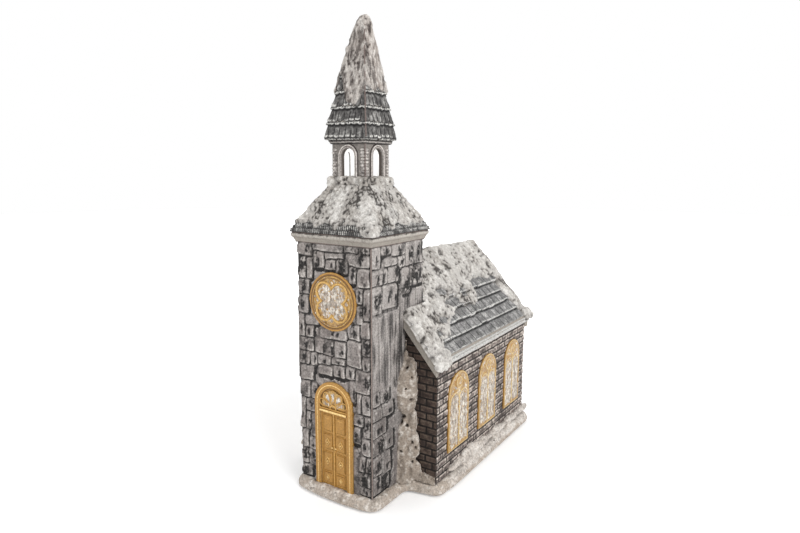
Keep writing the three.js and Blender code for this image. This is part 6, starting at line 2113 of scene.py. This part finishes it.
@dataclass
class Windows:
    """Thin gilt frames with glitter over pane and tracery on both long sides.

    Attributes:
        frame: Width of a frame.
        glue: How far the glitter stands over the frame's face.
        gilt: Height of the gilded head over its springing.
    """

    frame: float = 2.1
    glue: float = 0.05
    gilt: float = -3.0

    def rolls(self, wall: Wall, box: Span, shift: float) -> Mesh:
        """Rounded mouldings of one window: thin frame, mullion, two lancets and the eye."""
        half = box.size.y / 2
        inside = half - self.frame
        low, spring = box.low.z, box.high.z - half
        lancet = inside / 2
        made = Rolls(wall, box.high.x if wall is Wall.RIGHT else -box.low.x, shift)
        made.out -= 0.5
        outer = arched(half - 0.7, low + 0.6, spring)
        made.roll([*outer, outer[0]], 0.62, 0.3)
        made.roll([(0.2, low + 1), (-0.1, low + 14), (0.15, spring + 3)], 0.55, 0.6)
        for turn in (-1, 1):
            made.roll(arched(lancet, spring - lancet, spring - lancet + 0.5, turn * lancet), 0.5, 0.55)
        made.ring(0, spring + inside * 0.52, inside * 0.3, 0.5, 0.55, 20)
        return made.mesh()

    def glitter(self, wall: Wall, box: Span, shift: float) -> Mesh:
        """Glitter over the whole window, gilded in the head."""
        half = box.size.y / 2
        spring = box.high.z - half

        def inside(places: Places) -> Array:
            """Places inside the frame's outer edge."""
            reach = arch_reach(places.across - shift, places.height, spring)
            return (reach < half - 1.0) & (places.height > box.low.z + 0.9)

        def gilding(places: Places) -> Array:
            """Gold in the head and along the frame."""
            edge = half - arch_reach(places.across - shift, places.height, spring)
            edge = np.minimum(edge, places.height - box.low.z) + 0.8 * clouds(places.points, 3.0, 96)
            head = smooth(self.gilt - 2, self.gilt + 3, places.height - spring + 2.5 * clouds(places.points, 5.0, 97))
            middle = smooth(1.5, 0.3, np.abs(places.across - shift)) * 0.7
            return np.maximum(np.maximum(smooth(3.2, 1.6, edge), 0.72 * head), middle)

        out = (box.high.x if wall is Wall.RIGHT else -box.low.x) + self.glue
        return glitter_sheet(wall, box, out, inside, gilding, shift)

    def build(self) -> None:
        """Builds the mouldings and the glitter of every window."""
        for wall in (Wall.RIGHT, Wall.LEFT):
            side = wall.name.lower()
            for i in range(Nave.windows):
                box = Span.of(f"window_frame_{side}_{i + 1}")
                shift = box.centre.y * wall.value[0].y
                rolls = self.rolls(wall, box, shift)
                shown(rolls, f"window_rolls_{side}_{i + 1}", PALE_GOLD)
                glitter = self.glitter(wall, box, shift)
                shown(glitter, f"window_glitter_{side}_{i + 1}", GLITTER)


@dataclass
class Doorway:
    """Gold door relief: rolled surround, two panelled leaves and the fan over them.

    Attributes:
        petals: Cells of the fan.
    """

    petals: int = 5

    def __post_init__(self) -> None:
        """Takes the boxes of the nodes that the pieces lie on."""
        self.surround = Span.of("door_surround")
        self.leaf = Span.of("door_leaf_right")
        self.fan = Span.of("fanlight_tracery")
        self.half = self.surround.size.x / 2
        self.spring = self.surround.high.z - self.half
        half, middle = tower_plan()
        self.wall = half - middle

    def surround_rolls(self) -> None:
        """Rolled surround with a bead on each side."""
        low = self.surround.low.z
        rolls = Rolls(Wall.FRONT, self.wall)
        lines = Rolls(Wall.FRONT, self.wall)
        # lines holds dark rolls of painted shadow between the gold rolls and beside the leaves
        for made, inside, radius, rise in (
                (rolls, 0.6, 0.75, 1.9), (rolls, 2.1, 1.0, 1.75), (rolls, 3.7, 0.65, 2.0),
                (lines, 1.3, 0.45, 2.2), (lines, 3.0, 0.45, 2.2), (lines, 4.5, 0.45, 1.6)):
            made.roll(arched(self.half - inside, low, self.spring, steps=26), radius, rise)
        shown(lines.mesh(), "door_surround_lines", GILT_SHADOW)
        shown(rolls.mesh(), "door_surround_rolls", GOLD)

    def leaf_relief(self) -> None:
        """Panels, small motifs, knobs and the bead between the leaves."""
        low, high = self.leaf.low.z, self.leaf.high.z
        tall = high - low
        face = -self.leaf.low.y - 1.3
        inner, outer = self.leaf.low.x, self.leaf.high.x
        wide = outer - inner
        rolls = Rolls(Wall.FRONT, face)
        rolls.roll([(0, low), (0, high)], 0.55, 0.75)
        for turn in (-1, 1):
            left, right = turn * (inner + wide * 0.17), turn * (inner + wide * 0.83)
            for bottom, top in ((0.03, 0.19), (0.22, 0.46), (0.5, 0.71), (0.75, 0.97)):
                z0, z1 = low + tall * bottom, low + tall * top
                rolls.roll([(left, z0), (right, z0), (right, z1), (left, z1)], 0.3, 0.75, True)
            middle = (left + right) / 2
            for at, size in ((0.34, 1.7), (0.6, 1.7), (0.11, 1.2)):
                z = low + tall * at
                rolls.roll([(middle, z - size * 1.5), (middle + size, z), (middle, z + size * 1.5),
                            (middle - size, z)], 0.5, 0.95, True)
                rolls.roll([(middle, z - 0.5), (middle, z + 0.5)], 0.7, 1.1)
            z = low + tall * 0.86
            rolls.roll([(left + turn * 1.6, z + 3.2), (right - turn * 1.6, z + 3.2)], 0.5, 0.7)
            rolls.roll([(turn * 1.5, low + tall * 0.53), (turn * 1.5, low + tall * 0.55)], 0.75, 1.0)
            rolls.roll([(turn * (outer - 0.4), low), (turn * (outer - 0.4), high)], 0.45, 0.6)
        shown(rolls.mesh(), "door_leaf_relief", GOLD)

    def fan_relief(self) -> None:
        """Transom, hub and raised rims of the fan's cells."""
        low, half = self.fan.low.z, self.fan.size.x / 2
        out = -self.fan.low.y - 0.75
        rolls = Rolls(Wall.FRONT, out)
        rolls.roll([(-half, low + 1.2), (half, low + 1.2)], 0.95, 1.0)
        rolls.roll([(-half, low + 2.9), (half, low + 2.9)], 0.4, 0.9)
        foot = low + 4.2
        reach = self.fan.high.z - foot
        rolls.roll(arc(0, foot - 0.6, 2.4, 0, 180, 12), 0.6, 0.8)
        for i in range(self.petals):
            angle = math.pi * (i + 0.5) / self.petals
            ahead = np.array([math.cos(angle), math.sin(angle)])
            beside = np.array([-ahead[1], ahead[0]])
            rim = []
            for step in range(14):
                turn = 2 * math.pi * step / 14
                along = reach * (0.6 + 0.3 * math.cos(turn))
                wide = reach * 0.15 * math.sin(turn) * (1.0 + 0.45 * math.cos(turn))
                spot = np.array([0.0, foot]) + ahead * along + beside * wide
                rim.append((float(spot[0]), float(spot[1])))
            rolls.roll(rim, 0.38, 0.9, True)
        shown(rolls.mesh(), "fanlight_relief", GOLD)

    def fan_glitter(self) -> None:
        """Glitter in the fan."""
        pane = Span.of("fanlight_pane")

        def inside(places: Places) -> Array:
            """Places in the half-round pane."""
            share_x = places.across / (pane.size.x / 2)
            share_z = (places.height - pane.low.z) / pane.size.z
            return np.hypot(share_x, share_z) < 0.98

        def gilding(places: Places) -> Array:
            """Gold between the cells."""
            turn = np.arctan2(places.height - pane.low.z, places.across) / math.pi * self.petals
            between = np.abs(turn - np.floor(turn) - 0.5)
            reach = np.hypot(places.across / (pane.size.x / 2), (places.height - pane.low.z) / pane.size.z)
            ends = np.maximum(smooth(0.42, 0.3, reach), smooth(0.8, 0.9, reach))
            return np.maximum(smooth(0.2, 0.42, between), ends)

        mesh = glitter_sheet(Wall.FRONT, pane, -self.fan.low.y + 0.05, inside, gilding)
        shown(mesh, "fanlight_glitter", GLITTER)

    def build(self) -> None:
        """Builds the door's pieces."""
        self.surround_rolls()
        self.leaf_relief()
        self.fan_relief()
        self.fan_glitter()


@dataclass
class RoundWindow:
    """Round window: thin double rim, four-lobed moulding, and glitter over all that lies inside.

    Attributes:
        rim: Width of the solid's rim.
        lobe_share: Radius of a lobe over the hole's radius.
        away_share: Distance of a lobe's middle over the hole's radius.
    """

    rim: float = 4.0
    lobe_share: float = 0.42
    away_share: float = 0.55

    def build(self) -> None:
        """Builds the window's pieces."""
        box = Span.of("rose_frame")
        half, middle = tower_plan()
        wall = half - middle
        z = box.centre.z
        radius = box.size.x / 2
        hole = radius - self.rim
        face = -box.low.y
        rings = Rolls(Wall.FRONT, wall)
        rings.ring(0, z, radius - 0.6, 0.6, 1.0, 64)
        rings.ring(0, z, radius - 3.0, 0.7, 1.3, 60)
        shown(rings.mesh(), "rose_rings", SHADED_DARK_GOLD)
        rolls = Rolls(Wall.FRONT, wall)
        lobe, away = hole * self.lobe_share, hole * self.away_share
        turn = math.degrees(math.asin(away / math.sqrt(2) / lobe))
        foil = []
        for i in range(4):
            angle = math.radians(45 + 90 * i)
            x, up, start = away * math.cos(angle), z + away * math.sin(angle), 90 * i - turn
            foil += arc(x, up, lobe, start, start + 90 + 2 * turn, 14)[:-1]
        rolls.roll(foil, 0.95, face - wall + 0.1, True)
        # painted shadow: dark rolls between the two rings, round the inner edge of the rim and just inside the four
        # lobes
        lines = Rolls(Wall.FRONT, wall)
        lines.ring(0, z, radius - 1.8, 0.75, 1.15, 60)
        lines.ring(0, z, hole + 0.3, 0.5, face - wall, 56)
        lines.roll([(x * 0.93, z + (up - z) * 0.93) for x, up in foil], 0.4, face - wall, True)
        shown(lines.mesh(), "rose_shadow_lines", GILT_SHADOW)
        for i in range(4):
            angle = math.radians(90 * i)
            out = hole - 3.3
            rolls.ring(out * math.cos(angle), z + out * math.sin(angle), 1.9, 0.4, face - wall + 0.15, 12)
        shown(rolls.mesh(), "rose_rolls", SHADED_DARK_GOLD)

        def inside(places: Places) -> Array:
            """Places inside the rim."""
            return np.hypot(places.across, places.height - z) < hole + 0.7

        def gilding(places: Places) -> Array:
            """Gold washed over the outer glitter."""
            away_from = np.hypot(places.across, places.height - z) + 1.5 * clouds(places.points, 4.0, 99)
            return 0.8 * smooth(hole * 0.55, hole * 0.95, away_from)

        mesh = glitter_sheet(Wall.FRONT, box, face + 0.05, inside, gilding)
        shown(mesh, "rose_glitter", GLITTER)


def dress_nodes(frame: dict) -> None:
    """Gives every node its finish, with softened edges where they show.
    """
    edge, sharp = 0.22 * MM, math.radians(40)
    slots = {part["node"]: part["material_slot"] for part in frame["record"]["subparts"]}
    for name, node in frame["nodes"].items():
        node.data.materials.clear()
        plain = FINISHES[slots[name]].material()
        node.data.materials.append(stone_with_glowing_inside(node) if name == "belfry_arcade" else plain)
        weld = node.modifiers.new("weld", "WELD")
        weld.merge_threshold = WELD
        bevel = node.modifiers.new("soft_edges", "BEVEL")
        bevel.width = edge
        bevel.segments = 2
        bevel.limit_method = "ANGLE"
        bevel.angle_limit = sharp
        bevel.use_clamp_overlap = True
    LOG.info("%d nodes dressed", len(frame["nodes"]))


@dataclass
class Studio:
    """Pale floor, soft lamps, white surroundings and the camera.

    Attributes:
        eye: Place of the camera in metres.
        yaw: Its turn about the upright axis in degrees.
        pitch: How far it looks down, in degrees.
        roll: Its tilt in degrees.
        lens: Its focal length in millimetres.
        sensor: Width of its sensor in millimetres.
        shadow_reach: Distance from the middle up to which the floor keeps the shadow.
        floor_lift: White that the floor gives off there for the camera.
        lamps: Name, place, side in metres and power of each lamp.
    """

    eye: Point = (0.24354, -0.38509, 0.22282)
    yaw: float = 33.52
    pitch: float = 9.35
    roll: float = 0.18
    lens: float = 26.71
    sensor: float = 36.0
    shadow_reach: float = 0.17
    floor_lift: float = 0.22
    lamps: tuple[tuple[str, Point, float, float], ...] = (
        ("key", (1.1, -0.35, 0.9), 0.8, 11.5), ("fill", (-0.7, -1.3, 0.7), 1.2, 5.8),
        ("top", (-0.3, 0.4, 1.5), 1.0, 6.5),
    )

    def camera(self) -> None:
        """Camera at the photograph's viewpoint."""
        data = bpy.data.cameras.new("camera")
        data.lens = self.lens
        data.sensor_width = self.sensor
        data.sensor_fit = "HORIZONTAL"
        data.clip_start = 0.01
        camera = placed("camera", data)
        turned = Matrix.Translation(self.eye)
        for angle, axis in ((self.yaw, "Z"), (90 - self.pitch, "X"), (self.roll, "Z")):
            turned = turned @ Matrix.Rotation(math.radians(angle), 4, axis)
        camera.matrix_world = turned
        bpy.context.scene.camera = camera

    def floor(self) -> None:
        """Wide pale floor that keeps the church's shadow and runs out into white for the camera."""
        form = bmesh.new()
        bmesh.ops.create_circle(form, cap_ends=True, segments=96, radius=3.0)
        mesh = finished(form, "floor")
        floor = placed("floor", mesh)
        material, nodes, shader = new_material("floor")
        place = nodes.add("ShaderNodeTexCoord").outputs["Object"]
        tone = nodes.stretch(nodes.noise(place, 900.0), 0.3, 0.7)
        coat = nodes.blend(tone, shade(243, 243, 243), shade(246, 246, 246))
        nodes.feed(shader, {"Base Color": coat, "Roughness": 0.8})
        from_middle = nodes.add("ShaderNodeVectorMath", {0: place}, operation="LENGTH").outputs["Value"]
        outside = nodes.stretch(from_middle, self.shadow_reach, self.shadow_reach * 2.2, self.floor_lift, 1.0)
        seen = nodes.maths("MULTIPLY", self.white_rays(nodes), outside)
        glow = nodes.add("ShaderNodeEmission", {"Color": (1, 1, 1, 1), "Strength": seen})
        lit = nodes.add("ShaderNodeAddShader", {0: shader.outputs[0], 1: glow.outputs[0]})
        output = next(found for found in nodes.tree.nodes if found.type == "OUTPUT_MATERIAL")
        nodes.feed(output, {"Surface": lit.outputs[0]})
        mesh.materials.append(material)

    def white_rays(self, nodes: Nodes) -> NodeSocket:
        """1 for rays that see the surroundings themselves, 0 for those that light the object."""
        rays = nodes.add("ShaderNodeLightPath").outputs
        seen = nodes.maths("MAXIMUM", rays["Is Camera Ray"], rays["Is Glossy Ray"])
        return nodes.maths("MAXIMUM", seen, rays["Is Transmission Ray"])

    def world(self) -> None:
        """White surroundings, dimmer as a light than as a picture."""
        world = bpy.data.worlds.new("studio")
        world.use_nodes = True
        world.node_tree.nodes.clear()
        nodes = Nodes(world.node_tree)
        strength = nodes.stretch(self.white_rays(nodes), 0.0, 1.0, 0.55, 1.0)
        light = nodes.add("ShaderNodeBackground", {"Color": (1, 1, 1, 1), "Strength": strength})
        nodes.add("ShaderNodeOutputWorld", {"Surface": light.outputs[0]})
        bpy.context.scene.world = world

    def lamp(self, name: str, place: Point, size: float, watts: float) -> None:
        """Square soft lamp that faces the church.

        Args:
            name: Name of the lamp.
            place: Its place in metres.
            size: Its side in metres.
            watts: Its power.
        """
        data = bpy.data.lights.new(name, "AREA")
        data.size = size
        data.energy = watts
        lamp = placed(name, data)
        lamp.location = place
        lamp.rotation_euler = (Vector((0, 0, 0.14)) - Vector(place)).to_track_quat("-Z", "Y").to_euler()

    def build(self) -> None:
        """Sets up the studio."""
        self.camera()
        self.floor()
        self.world()
        for lamp in self.lamps:
            self.lamp(*lamp)
        bpy.context.scene.view_settings.view_transform = "Standard"


def main() -> None:
    """Builds the whole scene round the fixed frame."""
    logging.basicConfig(level=logging.INFO, format="%(name)s: %(message)s")
    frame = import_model()
    studio = Studio()
    studio.build()
    dress_nodes(frame)
    Tower().build()
    Steeple().build()
    Nave().build()
    Windows().build()
    Doorway().build()
    RoundWindow().build()


if __name__ == "__main__":
    main()
